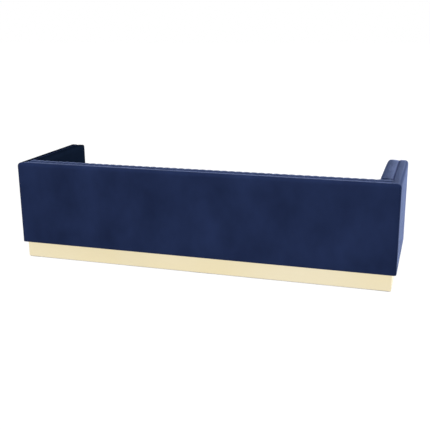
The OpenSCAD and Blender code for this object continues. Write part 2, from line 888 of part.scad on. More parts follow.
// Flanged threaded inserts, one in each block
module leveller_inserts() {
    color(zinc) for (sx = [-1, 0, 1], sy = [-1, 1])
        at_foot(sx, sy) difference() {
            union() {
                translate([0, 0, block_lift - insert_flange_t])
                    cylinder(d = insert_flange_d, h = insert_flange_t);
                translate([0, 0, block_lift]) cylinder(d = insert_d, h = insert_h);
            }
            translate([0, 0, block_lift - cut_over])
                cylinder(d = stem_d + 2 * turn_gap, h = insert_h + 2 * cut_over);
        }
}

// Levelling foot: a pad with a socket, and a stem that turns in it
module foot_pad(sx, sy) {
    color(nylon) at_foot(sx, sy) rotate_extrude() difference() {
        rounded_rect([0, 0], [foot_d / 2, foot_h], [0, 0, foot_edge_r, 0]);
        translate([0, foot_h - socket_depth]) square([socket_d / 2, socket_depth + cut_over]);
    }
}

module foot_stem(sx, sy) {
    collar_z = foot_h + collar_gap;
    color(zinc) at_foot(sx, sy) {
        translate([0, 0, foot_h - socket_depth + turn_gap])
            cylinder(d = socket_d - 2 * turn_gap, h = socket_depth + collar_gap - turn_gap);
        translate([0, 0, collar_z]) cylinder(d = collar_d, h = collar_h, $fn = 6);
        translate([0, 0, collar_z + collar_h]) cylinder(d = stem_d, h = stem_thread_l);
    }
}

// Metal facing of the plinth: long sheets front and rear, short ones between them
module skirt_long(sy) {
    color(gold)
        block(
            [-plinth_x, min(sy * plinth_y, sy * plinth_in_y), skirt_floor_gap],
            [plinth_x, max(sy * plinth_y, sy * plinth_in_y), skirt_top]
        );
}

module skirt_end(side) {
    color(gold) on_side(side)
        block([plinth_in_x, -plinth_in_y, skirt_floor_gap], [plinth_x, plinth_in_y, skirt_top]);
}

module dust_cover() {
    color(cloth_black) difference() {
        block(
            [-shell_in_x, front_face_y + front_return, shell_bottom],
            [shell_in_x, shell_in_y, frame_bottom]
        );
        at_plinth_coach_screws() coach_hole(0);
    }
}

back_cover();
wall_wadding();
back_outer_board();
back_top_rail();
back_bottom_rail();
back_posts();
back_pad_board();
back_pad_foam();
back_pad_cover();
arm_cover(1);  // arm_cover_left
arm_cover(-1);  // arm_cover_right
arm_outer_boards();
arm_frame(1);  // arm_frame_left
arm_frame(-1);  // arm_frame_right
arm_pad_boards();
arm_pad_foam(1);  // arm_pad_foam_left
arm_pad_foam(-1);  // arm_pad_foam_right
arm_pad_cover(1);  // arm_pad_cover_left
arm_pad_cover(-1);  // arm_pad_cover_right
seat_front_rail();
seat_rear_rail();
seat_end_rails();
seat_cross_rails();
seat_webbing();
deck_foam();
deck_cloth();
front_rail_padding();
front_rail_cover();
seat_cushion_cover(1);  // seat_cushion_cover_left
seat_cushion_cover(0);  // seat_cushion_cover_middle
seat_cushion_cover(-1);  // seat_cushion_cover_right
seat_cushion_core(1);  // seat_cushion_core_left
seat_cushion_core(0);  // seat_cushion_core_middle
seat_cushion_core(-1);  // seat_cushion_core_right
seat_cushion_zip(1);  // seat_cushion_zip_left
seat_cushion_zip(0);  // seat_cushion_zip_middle
seat_cushion_zip(-1);  // seat_cushion_zip_right
plinth_long_boards();
plinth_cross_boards();
leveller_blocks();
leveller_inserts();
skirt_long(-1);  // skirt_front
skirt_long(1);  // skirt_rear
skirt_end(1);  // skirt_left
skirt_end(-1);  // skirt_right
dust_cover();
frame_coach_screws();
pad_screws();
foot_pad(1, -1);  // foot_pad_front_left
foot_pad(0, -1);  // foot_pad_front_middle
foot_pad(-1, -1);  // foot_pad_front_right
foot_pad(1, 1);  // foot_pad_rear_left
foot_pad(0, 1);  // foot_pad_rear_middle
foot_pad(-1, 1);  // foot_pad_rear_right
foot_stem(1, -1);  // foot_stem_front_left
foot_stem(0, -1);  // foot_stem_front_middle
foot_stem(-1, -1);  // foot_stem_front_right
foot_stem(1, 1);  // foot_stem_rear_left
foot_stem(0, 1);  // foot_stem_rear_middle
foot_stem(-1, 1);  // foot_stem_rear_right
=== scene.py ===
"""Upholstered banquette bench: velvet, seams, metal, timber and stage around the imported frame."""

import json
import math

import bmesh
import bpy
import numpy as np
from mathutils import Matrix, Vector, noise


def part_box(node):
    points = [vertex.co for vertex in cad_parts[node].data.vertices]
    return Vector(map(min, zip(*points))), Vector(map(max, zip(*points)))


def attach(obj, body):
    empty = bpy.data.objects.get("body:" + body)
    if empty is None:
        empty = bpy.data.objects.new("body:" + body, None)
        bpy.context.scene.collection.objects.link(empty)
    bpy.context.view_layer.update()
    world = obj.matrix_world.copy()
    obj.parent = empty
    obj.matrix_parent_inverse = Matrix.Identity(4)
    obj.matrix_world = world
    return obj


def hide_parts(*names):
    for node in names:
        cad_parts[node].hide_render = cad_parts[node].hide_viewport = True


bl_info = {
    "name": "Banquette bench",
    "version": (1, 0, 0),
    "blender": (4, 5, 0),
    "location": "3D View > Sidebar > Banquette",
    "description": "Upholstery, metal and timber finishes and a plain studio for a banquette bench",
    "category": "Object",
}

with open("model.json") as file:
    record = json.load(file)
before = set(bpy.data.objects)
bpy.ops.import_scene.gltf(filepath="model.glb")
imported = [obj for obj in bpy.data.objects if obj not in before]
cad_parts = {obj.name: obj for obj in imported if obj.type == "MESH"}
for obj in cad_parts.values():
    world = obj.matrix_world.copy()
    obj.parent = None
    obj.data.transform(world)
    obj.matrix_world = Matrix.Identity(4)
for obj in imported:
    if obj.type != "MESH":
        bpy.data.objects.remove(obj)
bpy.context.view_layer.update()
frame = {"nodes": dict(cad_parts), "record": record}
SIDES = {"left": 1, "right": -1}
PLACES = ("left", "middle", "right")


# Sizes read from the frame

def corners(node):
    """Low and high corner of a frame node's box."""
    low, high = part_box(node)
    return np.array(low), np.array(high)


BACK_LOW, BACK_HIGH = corners("back_cover")
ARM_LOW, ARM_HIGH = corners("arm_cover_left")
BACK_PAD_LOW, BACK_PAD_HIGH = corners("back_pad_cover")
ARM_PAD_LOW, ARM_PAD_HIGH = corners("arm_pad_cover_left")
RAIL_LOW, RAIL_HIGH = corners("front_rail_cover")
DECK_LOW, DECK_HIGH = corners("deck_cloth")
DUST_LOW, DUST_HIGH = corners("dust_cover")
HALF_LENGTH = ARM_HIGH[0]
HALF_DEPTH = BACK_HIGH[1]
WALL_T = HALF_LENGTH - ARM_LOW[0]
BACK_PAD_LENGTH, BACK_PAD_T, BACK_PAD_HEIGHT = BACK_PAD_HIGH - BACK_PAD_LOW
ARM_PAD_T, ARM_PAD_LENGTH, ARM_PAD_HEIGHT = ARM_PAD_HIGH - ARM_PAD_LOW


# Sizes, colours and camera that a user would change

class ShellSizes(bpy.types.PropertyGroup):
    """Sizes of the outer covers"""

    outer_radius: bpy.props.FloatProperty(
        name="Outer edge radius", description="Radius of the shell's outer top edges",
        default=0.024, unit="LENGTH")
    corner_radius: bpy.props.FloatProperty(
        name="Corner radius", description="Radius of the shell's upright rear corners",
        default=0.016, unit="LENGTH")
    seam_radius: bpy.props.FloatProperty(
        name="Inner edge radius", description="Radius of the edge beside the inner pads",
        default=0.008, unit="LENGTH")
    front_radius: bpy.props.FloatProperty(
        name="Front edge radius", description="Radius of the arms' front edges",
        default=0.014, unit="LENGTH")
    hem_radius: bpy.props.FloatProperty(
        name="Lower edge radius", description="Radius of the edges over the plinth",
        default=0.003, unit="LENGTH")
    cover: bpy.props.FloatProperty(
        name="Cover thickness", description="Thickness of the velvet with its backing",
        default=0.0018, unit="LENGTH")
    # The hem band's crushed velvet, without sheen, also paints the shade along the lower edge
    hem_shade_band: bpy.props.FloatProperty(
        name="Hem shade band", description="Height of the strip at the lower edge whose pile is crushed",
        default=0.009, unit="LENGTH")
    turn_in: bpy.props.FloatProperty(
        name="Turn-in", description="How far the cover turns in behind the pads",
        default=0.055, unit="LENGTH")
    seam_depth: bpy.props.FloatProperty(
        name="Seam depth", description="How deep the cover sinks at a sewn seam",
        default=0.0016, unit="LENGTH")
    fullness: bpy.props.FloatProperty(
        name="Fullness", description="How far the wadding makes a flat face swell",
        default=0.0015, unit="LENGTH")


class PadSizes(bpy.types.PropertyGroup):
    """Sizes of the back pad and the arm pads"""

    top_radius: bpy.props.FloatProperty(
        name="Top radius", description="Radius of the pads' top edge", default=0.024, unit="LENGTH")
    hem_radius: bpy.props.FloatProperty(
        name="Lower radius", description="Radius of the pads' lower edge", default=0.006, unit="LENGTH")
    wall_radius: bpy.props.FloatProperty(
        name="Wall radius", description="Radius of the top edge beside the shell",
        default=0.0045, unit="LENGTH")
    front_radius: bpy.props.FloatProperty(
        name="Front radius", description="Radius of the arm pads' front corner",
        default=0.052, unit="LENGTH")
    front_drop: bpy.props.FloatProperty(
        name="Front drop", description="How far an arm pad's top rounds down at its front end",
        default=0.014, unit="LENGTH")
    crown: bpy.props.FloatProperty(
        name="Crown", description="How much an arm pad thins towards its front end",
        default=0.0055, unit="LENGTH")
    top_crown: bpy.props.FloatProperty(
        name="Top crown", description="Rise of a pad's top between its seam and its face",
        default=0.004, unit="LENGTH")
    back_settle: bpy.props.FloatProperty(
        name="Back settle", description="How far the back pad's seam and face lie below its full height",
        default=0.006, unit="LENGTH")
    arm_settle: bpy.props.FloatProperty(
        name="Arm settle", description="How far an arm pad's seam and face lie below its full height",
        default=0.0035, unit="LENGTH")
    channels: bpy.props.IntProperty(
        name="Channels", description="Sewn channels of the back pad", default=50)
    channel_depth: bpy.props.FloatProperty(
        name="Channel depth", description="Depth of the seams between channels",
        default=0.0065, unit="LENGTH")
    foam_inset: bpy.props.FloatProperty(
        name="Foam inset", description="Depth of the foam under a pad's face and top",
        default=0.010, unit="LENGTH")
    top_share: bpy.props.FloatProperty(
        name="Top share", description="Share of the channels' depth left on the pad's top",
        default=0.35, subtype="FACTOR", min=0.0, max=1.0)


class CushionSizes(bpy.types.PropertyGroup):
    """Sizes of the seat cushions"""

    corner_radius: bpy.props.FloatProperty(
        name="Corner radius", description="Corner radius seen from above", default=0.028, unit="LENGTH")
    border: bpy.props.FloatProperty(
        name="Border height", description="Height of the border between its seams",
        default=0.127, unit="LENGTH")
    seam_lift: bpy.props.FloatProperty(
        name="Seam lift", description="Height of a seam over the panel's edge",
        default=0.009, unit="LENGTH")
    crown: bpy.props.FloatProperty(
        name="Crown", description="Rise of the top in its middle", default=0.016, unit="LENGTH")
    pull: bpy.props.FloatProperty(
        name="Pull", description="How far the sides draw in between the corners",
        default=0.006, unit="LENGTH")
    swell: bpy.props.FloatProperty(
        name="Swell", description="How far the border swells between its seams",
        default=0.005, unit="LENGTH")
    pressure: bpy.props.FloatProperty(
        name="Pressure", description="Air pressure that fills the cover in the cloth simulation",
        default=4.0)


class StitchSizes(bpy.types.PropertyGroup):
    """Sizes of the stitches"""

    pitch: bpy.props.FloatProperty(
        name="Stitch pitch", description="Distance from one stitch to the next",
        default=0.008, unit="LENGTH")
    length: bpy.props.FloatProperty(
        name="Stitch length", description="Length of a stitch", default=0.0058, unit="LENGTH")
    thread: bpy.props.FloatProperty(
        name="Thread", description="Thickness of the thread", default=0.0009, unit="LENGTH")


class StageSizes(bpy.types.PropertyGroup):
    """Camera and light"""

    lens: bpy.props.FloatProperty(
        name="Lens", description="Focal length in millimetres on a 36 mm sensor", default=59.881)
    place: bpy.props.FloatVectorProperty(
        name="Camera place", description="Where the camera stands", size=3,
        default=(-1.5064, 4.7129, 1.6850), subtype="TRANSLATION", unit="LENGTH")
    yaw: bpy.props.FloatProperty(
        name="Yaw", description="Turn of the view from straight ahead of the rear face",
        default=math.radians(17.517), subtype="ANGLE")
    pitch: bpy.props.FloatProperty(
        name="Pitch", description="Tilt of the view below the horizon",
        default=math.radians(15.552), subtype="ANGLE")
    roll: bpy.props.FloatProperty(
        name="Roll", description="Roll of the camera", default=math.radians(-0.547), subtype="ANGLE")
    sky: bpy.props.FloatProperty(
        name="Sky", description="Strength of the even light from all sides", default=0.2)
    key: bpy.props.FloatProperty(
        name="Key", description="Power of the large lamp behind the camera in watts", default=170.0)
    top: bpy.props.FloatProperty(
        name="Top", description="Power of the wide lamp overhead in watts", default=165.0)
    front: bpy.props.FloatProperty(
        name="Front", description="Power of the lamp in front of the seat in watts", default=80.0)
    side: bpy.props.FloatProperty(
        name="Side", description="Power of the lamp beside the right arm in watts", default=400.0)


class FinishColours(bpy.types.PropertyGroup):
    """Colours of the velvet, the plinth and the zips"""

    velvet_dark: bpy.props.FloatVectorProperty(
        name="Velvet dark", description="Darker tone of the velvet", size=4, subtype="COLOR",
        min=0.0, max=1.0, default=(0.0112, 0.0188, 0.0550, 1.0))
    velvet_light: bpy.props.FloatVectorProperty(
        name="Velvet light", description="Lighter tone of the velvet", size=4, subtype="COLOR",
        min=0.0, max=1.0, default=(0.0192, 0.0320, 0.0920, 1.0))
    velvet_sheen: bpy.props.FloatVectorProperty(
        name="Velvet sheen", description="Tint of the pile seen from the side", size=4, subtype="COLOR",
        min=0.0, max=1.0, default=(0.49, 0.60, 0.97, 1.0))
    # Tones of a darker copy of the velvet, without sheen, that paints shade on the left arm's top and inner
    # side
    painted_shade_dark: bpy.props.FloatVectorProperty(
        name="Painted shade dark", description="Darker tone of the velvet copy that paints shade",
        size=4, subtype="COLOR",
        min=0.0, max=1.0, default=(0.0032, 0.0064, 0.0150, 1.0))
    painted_shade_light: bpy.props.FloatVectorProperty(
        name="Painted shade light", description="Lighter tone of the velvet copy that paints shade", size=4,
        subtype="COLOR", min=0.0, max=1.0, default=(0.0050, 0.0096, 0.0215, 1.0))
    # Tones of crushed velvet in the seams and at the hem, whose missing sheen also paints the shade of the
    # grooves and of the lower edge
    pressed_shade_dark: bpy.props.FloatVectorProperty(
        name="Pressed shade dark", description="Darker tone of velvet crushed and shaded in a seam", size=4, subtype="COLOR",
        min=0.0, max=1.0, default=(0.0220, 0.0320, 0.0900, 1.0))
    pressed_shade_light: bpy.props.FloatVectorProperty(
        name="Pressed shade light", description="Lighter tone of velvet crushed and shaded in a seam", size=4, subtype="COLOR",
        min=0.0, max=1.0, default=(0.0290, 0.0420, 0.1180, 1.0))
    plinth_gold: bpy.props.FloatVectorProperty(
        name="Plinth gold", description="Colour of the plinth's metal facing", size=4, subtype="COLOR",
        min=0.0, max=1.0, default=(0.830, 0.718, 0.448, 1.0))
    zip_brass: bpy.props.FloatVectorProperty(
        name="Zip brass", description="Colour of the zips", size=4, subtype="COLOR",
        min=0.0, max=1.0, default=(0.60, 0.43, 0.16, 1.0))


GROUPS = {
    "bench_shell": ShellSizes,
    "bench_pads": PadSizes,
    "bench_cushions": CushionSizes,
    "bench_stitches": StitchSizes,
    "bench_stage": StageSizes,
    "bench_colours": FinishColours,
}


# Materials

def new_material(name):
    """A material with nodes, and its Principled shader."""
    material = bpy.data.materials.new(name)
    material.use_nodes = True
    nodes = material.node_tree.nodes
    shader = nodes["Principled BSDF"]
    return material, shader


def add_node(tree, kind, values=None, **props):
    """Adds a node, sets its properties, and its sockets by name or number."""
    node = tree.nodes.new(kind)
    for key, value in props.items():
        setattr(node, key, value)
    for key, value in (values or {}).items():
        node.inputs[key].default_value = value
    return node


def link(tree, start, end):
    """Joins an output to an input."""
    tree.links.new(start, end)


def set_values(shader, values):
    """Sets a node's sockets by name."""
    for key, value in values.items():
        shader.inputs[key].default_value = value


def new_group(name, inputs, outputs):
    """A shader group with named float, colour or vector sockets."""
    group = bpy.data.node_groups.new(name, "ShaderNodeTree")
    kinds = {"f": "NodeSocketFloat", "c": "NodeSocketColor", "v": "NodeSocketVector"}
    for label, kind, value in inputs:
        socket = group.interface.new_socket(label, in_out="INPUT", socket_type=kinds[kind])
        socket.default_value = value
    for label, kind in outputs:
        group.interface.new_socket(label, in_out="OUTPUT", socket_type=kinds[kind])
    start = group.nodes.new("NodeGroupInput")
    end = group.nodes.new("NodeGroupOutput")
    return group, start, end


def two_tone_group():
    """Blotches between two tones, at one scale in metres, stretched along an axis."""
    group, start, end = new_group(
        "two_tone",
        [("Dark", "c", (0, 0, 0, 1)), ("Light", "c", (1, 1, 1, 1)), ("Scale", "f", 5.0),
         ("Stretch", "v", (1, 1, 1)), ("Detail", "f", 3.0), ("Contrast", "f", 1.0)],
        [("Color", "c"), ("Mask", "f")])
    place = add_node(group, "ShaderNodeTexCoord")
    turn = add_node(group, "ShaderNodeMapping")
    spots = add_node(group, "ShaderNodeTexNoise", {"Roughness": 0.55})
    spread = add_node(group, "ShaderNodeMath", {1: 0.5}, operation="SUBTRACT")
    gain = add_node(group, "ShaderNodeMath", operation="MULTIPLY")
    middle = add_node(group, "ShaderNodeMath", {1: 0.5}, operation="ADD", use_clamp=True)
    mix = add_node(group, "ShaderNodeMix", data_type="RGBA")
    link(group, place.outputs["Object"], turn.inputs["Vector"])
    link(group, start.outputs["Stretch"], turn.inputs["Scale"])
    link(group, turn.outputs["Vector"], spots.inputs["Vector"])
    link(group, start.outputs["Scale"], spots.inputs["Scale"])
    link(group, start.outputs["Detail"], spots.inputs["Detail"])
    link(group, spots.outputs["Fac"], spread.inputs[0])
    link(group, spread.outputs[0], gain.inputs[0])
    link(group, start.outputs["Contrast"], gain.inputs[1])
    link(group, gain.outputs[0], middle.inputs[0])
    link(group, middle.outputs[0], mix.inputs["Factor"])
    link(group, start.outputs["Dark"], mix.inputs[6])
    link(group, start.outputs["Light"], mix.inputs[7])
    link(group, mix.outputs[2], end.inputs["Color"])
    link(group, middle.outputs[0], end.inputs["Mask"])
    return group


def pile_group():
    """Height of a short pile: fine tufts over slow waves."""
    group, start, end = new_group(
        "short_pile",
        [("Tuft", "f", 900.0), ("Wave", "f", 40.0), ("Wave share", "f", 0.4)],
        [("Height", "f"), ("Mask", "f")])
    place = add_node(group, "ShaderNodeTexCoord")
    tufts = add_node(group, "ShaderNodeTexNoise", {"Detail": 1.0})
    waves = add_node(group, "ShaderNodeTexNoise", {"Detail": 2.0})
    share = add_node(group, "ShaderNodeMath", operation="MULTIPLY")
    total = add_node(group, "ShaderNodeMath", operation="ADD")
    for spots, scale in ((tufts, "Tuft"), (waves, "Wave")):
        link(group, place.outputs["Object"], spots.inputs["Vector"])
        link(group, start.outputs[scale], spots.inputs["Scale"])
    link(group, waves.outputs["Fac"], share.inputs[0])
    link(group, start.outputs["Wave share"], share.inputs[1])
    link(group, tufts.outputs["Fac"], total.inputs[0])
    link(group, share.outputs[0], total.inputs[1])
    link(group, total.outputs[0], end.inputs["Height"])
    link(group, waves.outputs["Fac"], end.inputs["Mask"])
    return group


def nap_group():
    """Normal of a pile that stands on the outer faces, leans inwards over the top and up the inner faces."""
    group, start, end = new_group(
        "pile_nap",
        [("Wall out", "v", (0, 0, 0)), ("Lean", "f", 0.12), ("Patch scale", "f", 6.0),
         ("Patch share", "f", 0.5)],
        [("Normal", "v"), ("Patch", "f")])
    surface = add_node(group, "ShaderNodeNewGeometry")
    split = add_node(group, "ShaderNodeSeparateXYZ")
    facing = add_node(group, "ShaderNodeVectorMath", operation="DOT_PRODUCT")
    behind = add_node(group, "ShaderNodeMath", {1: -1.0}, operation="MULTIPLY", use_clamp=True)
    rise = add_node(group, "ShaderNodeCombineXYZ")
    inward = add_node(group, "ShaderNodeVectorMath", operation="SCALE")
    way = add_node(group, "ShaderNodeVectorMath", operation="SUBTRACT")
    place = add_node(group, "ShaderNodeTexCoord")
    patches = add_node(group, "ShaderNodeTexNoise", {"Detail": 2.0})
    spread = add_node(group, "ShaderNodeMapRange", {1: 0.3, 2: 0.7, 3: -1.0, 4: 1.0})
    share = add_node(group, "ShaderNodeMath", operation="MULTIPLY_ADD")
    lean = add_node(group, "ShaderNodeMath", operation="MULTIPLY")
    tilt = add_node(group, "ShaderNodeVectorMath", operation="SCALE")
    total = add_node(group, "ShaderNodeVectorMath", operation="ADD")
    unit = add_node(group, "ShaderNodeVectorMath", operation="NORMALIZE")
    share.inputs[2].default_value = 1.0
    for first, second in (
            (surface.outputs["Normal"], facing.inputs[0]), (start.outputs["Wall out"], facing.inputs[1]),
            (surface.outputs["Normal"], split.inputs[0]), (facing.outputs["Value"], behind.inputs[0]),
            (behind.outputs[0], rise.inputs["Z"]),
            (start.outputs["Wall out"], inward.inputs[0]), (split.outputs["Z"], inward.inputs["Scale"]),
            (rise.outputs[0], way.inputs[0]), (inward.outputs[0], way.inputs[1]),
            (place.outputs["Object"], patches.inputs["Vector"]),
            (start.outputs["Patch scale"], patches.inputs["Scale"]),
            (patches.outputs["Fac"], spread.inputs[0]),
            (spread.outputs[0], share.inputs[0]), (start.outputs["Patch share"], share.inputs[1]),
            (share.outputs[0], lean.inputs[0]), (start.outputs["Lean"], lean.inputs[1]),
            (way.outputs[0], tilt.inputs[0]), (lean.outputs[0], tilt.inputs["Scale"]),
            (surface.outputs["Normal"], total.inputs[0]), (tilt.outputs[0], total.inputs[1]),
            (total.outputs[0], unit.inputs[0]), (unit.outputs[0], end.inputs["Normal"]),
            (spread.outputs[0], end.inputs["Patch"])):
        link(group, first, second)
    return group


def grain_group():
    """Long wood grain along an axis, as a mask of late wood."""
    group, start, end = new_group(
        "wood_grain",
        [("Stretch", "v", (1, 1, 1)), ("Scale", "f", 60.0), ("Twist", "f", 2.0)],
        [("Mask", "f")])
    place = add_node(group, "ShaderNodeTexCoord")
    turn = add_node(group, "ShaderNodeMapping")
    bands = add_node(group, "ShaderNodeTexNoise", {"Detail": 4.0, "Roughness": 0.6})
    link(group, place.outputs["Object"], turn.inputs["Vector"])
    link(group, start.outputs["Stretch"], turn.inputs["Scale"])
    link(group, turn.outputs["Vector"], bands.inputs["Vector"])
    link(group, start.outputs["Scale"], bands.inputs["Scale"])
    link(group, start.outputs["Twist"], bands.inputs["Distortion"])
    link(group, bands.outputs["Fac"], end.inputs["Mask"])
    return group


def place_group(tree, group, values):
    """Places a shader group with its own values."""
    node = tree.nodes.new("ShaderNodeGroup")
    node.node_tree = group
    for key, value in values.items():
        node.inputs[key].default_value = value
    return node


def ramp_of(tree, source, low, high, to_low, to_high):
    """Maps a value from one range to another."""
    span = add_node(tree, "ShaderNodeMapRange", {1: low, 2: high, 3: to_low, 4: to_high})
    link(tree, source, span.inputs[0])
    return span.outputs[0]


def bump_of(tree, height, strength, distance, base=None):
    """Normal bent by a height, over another normal where one is given."""
    bump = add_node(tree, "ShaderNodeBump", {"Strength": strength, "Distance": distance})
    link(tree, height, bump.inputs["Height"])
    if base is not None:
        link(tree, base, bump.inputs["Normal"])
    return bump.outputs["Normal"]


def velvet(name, dark, light, tint, sheen, lean):
    """Short-pile velvet: a blotchy base, with as much sheen and lean of the pile as is asked for."""
    material, shader = new_material(name)
    tree = material.node_tree
    tone = place_group(tree, SHADER["two_tone"], {
        "Dark": dark, "Light": light, "Scale": 4.5, "Stretch": (1.0, 1.0, 0.7), "Contrast": 1.8})
    pile = place_group(tree, SHADER["pile"], {"Tuft": 1100.0, "Wave": 26.0, "Wave share": 0.6})
    link(tree, tone.outputs["Color"], shader.inputs["Base Color"])
    link(tree, ramp_of(tree, pile.outputs["Mask"], 0.3, 0.7, to_low=0.78, to_high=0.95),
         shader.inputs["Roughness"])
    wall = add_node(tree, "ShaderNodeAttribute", attribute_name="wall_out")
    nap = place_group(tree, SHADER["nap"], {"Lean": lean, "Patch scale": 5.0, "Patch share": 0.35})
    link(tree, wall.outputs["Vector"], nap.inputs["Wall out"])
    bent = bump_of(tree, pile.outputs["Height"], strength=0.35, distance=0.0006, base=nap.outputs["Normal"])
    link(tree, bent, shader.inputs["Normal"])
    set_values(shader, {
        "Specular IOR Level": 0.0,
        "Sheen Weight": sheen,
        "Sheen Roughness": 0.25,
        "Sheen Tint": tint,
    })
    return material


def pressed_and_shaded_velvet(name, dark, light):
    """Velvet whose pile is crushed in a seam or at a hem: matt, without sheen, so that it also paints the
    shade of a seam's groove and of the lower edge.
    """
    material, shader = new_material(name)
    tree = material.node_tree
    tone = place_group(tree, SHADER["two_tone"], {
        "Dark": dark, "Light": light, "Scale": 30.0, "Contrast": 1.5})
    pile = place_group(tree, SHADER["pile"], {"Tuft": 1100.0, "Wave": 60.0, "Wave share": 0.6})
    link(tree, tone.outputs["Color"], shader.inputs["Base Color"])
    link(tree, bump_of(tree, pile.outputs["Height"], strength=0.4, distance=0.0006), shader.inputs["Normal"])
    set_values(shader, {"Roughness": 0.95, "Specular IOR Level": 0.03})
    return material


def woven(name, dark, light, threads, relief):
    """Plain cloth with a fine even weave."""
    material, shader = new_material(name)
    tree = material.node_tree
    tone = place_group(tree, SHADER["two_tone"], {
        "Dark": dark, "Light": light, "Scale": 8.0, "Contrast": 1.6})
    place = add_node(tree, "ShaderNodeTexCoord")
    weft = add_node(tree, "ShaderNodeTexWave", {"Scale": threads, "Distortion": 0.6}, bands_direction="X")
    warp = add_node(tree, "ShaderNodeTexWave", {"Scale": threads, "Distortion": 0.6}, bands_direction="Y")
    cross = add_node(tree, "ShaderNodeMath", operation="MULTIPLY")
    for wave in (weft, warp):
        link(tree, place.outputs["Object"], wave.inputs["Vector"])
    link(tree, weft.outputs["Fac"], cross.inputs[0])
    link(tree, warp.outputs["Fac"], cross.inputs[1])
    link(tree, tone.outputs["Color"], shader.inputs["Base Color"])
    link(tree, bump_of(tree, cross.outputs[0], strength=0.5, distance=relief), shader.inputs["Normal"])
    set_values(shader, {"Roughness": 0.9, "Specular IOR Level": 0.15, "Sheen Weight": 0.1})
    return material


def foamed(name, dark, light, cells):
    """Open-cell foam or loose fibre."""
    material, shader = new_material(name)
    tree = material.node_tree
    tone = place_group(tree, SHADER["two_tone"], {
        "Dark": dark, "Light": light, "Scale": 12.0, "Detail": 6.0, "Contrast": 1.5})
    place = add_node(tree, "ShaderNodeTexCoord")
    holes = add_node(tree, "ShaderNodeTexVoronoi", {"Scale": cells})
    link(tree, place.outputs["Object"], holes.inputs["Vector"])
    link(tree, tone.outputs["Color"], shader.inputs["Base Color"])
    link(tree, bump_of(tree, holes.outputs["Distance"], strength=0.6, distance=0.001),
         shader.inputs["Normal"])
    set_values(shader, {"Roughness": 0.95, "Specular IOR Level": 0.1})
    return material


def wood(name, dark, light, stretch, scale):
    """Sawn timber or plywood with its grain along one axis."""
    material, shader = new_material(name)
    tree = material.node_tree
    grain = place_group(tree, SHADER["grain"], {"Stretch": stretch, "Scale": scale, "Twist": 0.8})
    tone = add_node(tree, "ShaderNodeMix", {6: dark, 7: light}, data_type="RGBA")
    link(tree, grain.outputs["Mask"], tone.inputs["Factor"])
    link(tree, tone.outputs[2], shader.inputs["Base Color"])
    link(tree, ramp_of(tree, grain.outputs["Mask"], 0.3, 0.7, to_low=0.5, to_high=0.72),
         shader.inputs["Roughness"])
    link(tree, bump_of(tree, grain.outputs["Mask"], strength=0.25, distance=0.0004), shader.inputs["Normal"])
    return material


def brushed_metal(name, color, rough, stretch, streak, relief):
    """Sheet or turned metal with fine lines along one axis, and paler blotches in its colour as a faint
    painted reflection.
    """
    material, shader = new_material(name)
    tree = material.node_tree
    # Paler blotches in the base colour: a painted soft reflection
    painted_reflection_tone = tuple(0.76 * c + 0.22 for c in color[:3]) + (1.0,)
    reflection_blotches = place_group(tree, SHADER["two_tone"], {
        "Dark": color, "Light": painted_reflection_tone, "Scale": 1.1, "Contrast": 2.2})
    lines = place_group(tree, SHADER["two_tone"], {
        "Scale": streak, "Stretch": stretch, "Detail": 2.0, "Contrast": 1.5})
    link(tree, reflection_blotches.outputs["Color"], shader.inputs["Base Color"])
    link(tree, ramp_of(tree, lines.outputs["Mask"], 0.0, 1.0, rough - 0.05, rough + 0.05),
         shader.inputs["Roughness"])
    link(tree, bump_of(tree, lines.outputs["Mask"], strength=0.2, distance=relief), shader.inputs["Normal"])
    set_values(shader, {"Metallic": 1.0})
    return material


def moulded(name, color, rough):
    """Moulded plastic with a fine eroded grain."""
    material, shader = new_material(name)
    tree = material.node_tree
    lighter = tuple(min(1.0, 1.25 * c) for c in color[:3]) + (1.0,)
    tone = place_group(tree, SHADER["two_tone"], {
        "Dark": color, "Light": lighter, "Scale": 60.0, "Contrast": 1.5})
    grain = place_group(tree, SHADER["two_tone"], {"Scale": 1800.0, "Detail": 1.0})
    link(tree, tone.outputs["Color"], shader.inputs["Base Color"])
    link(tree, bump_of(tree, grain.outputs["Mask"], strength=0.3, distance=0.0002), shader.inputs["Normal"])
    set_values(shader, {"Roughness": rough, "Specular IOR Level": 0.4})
    return material


SHADER = {}
FINISH = {}


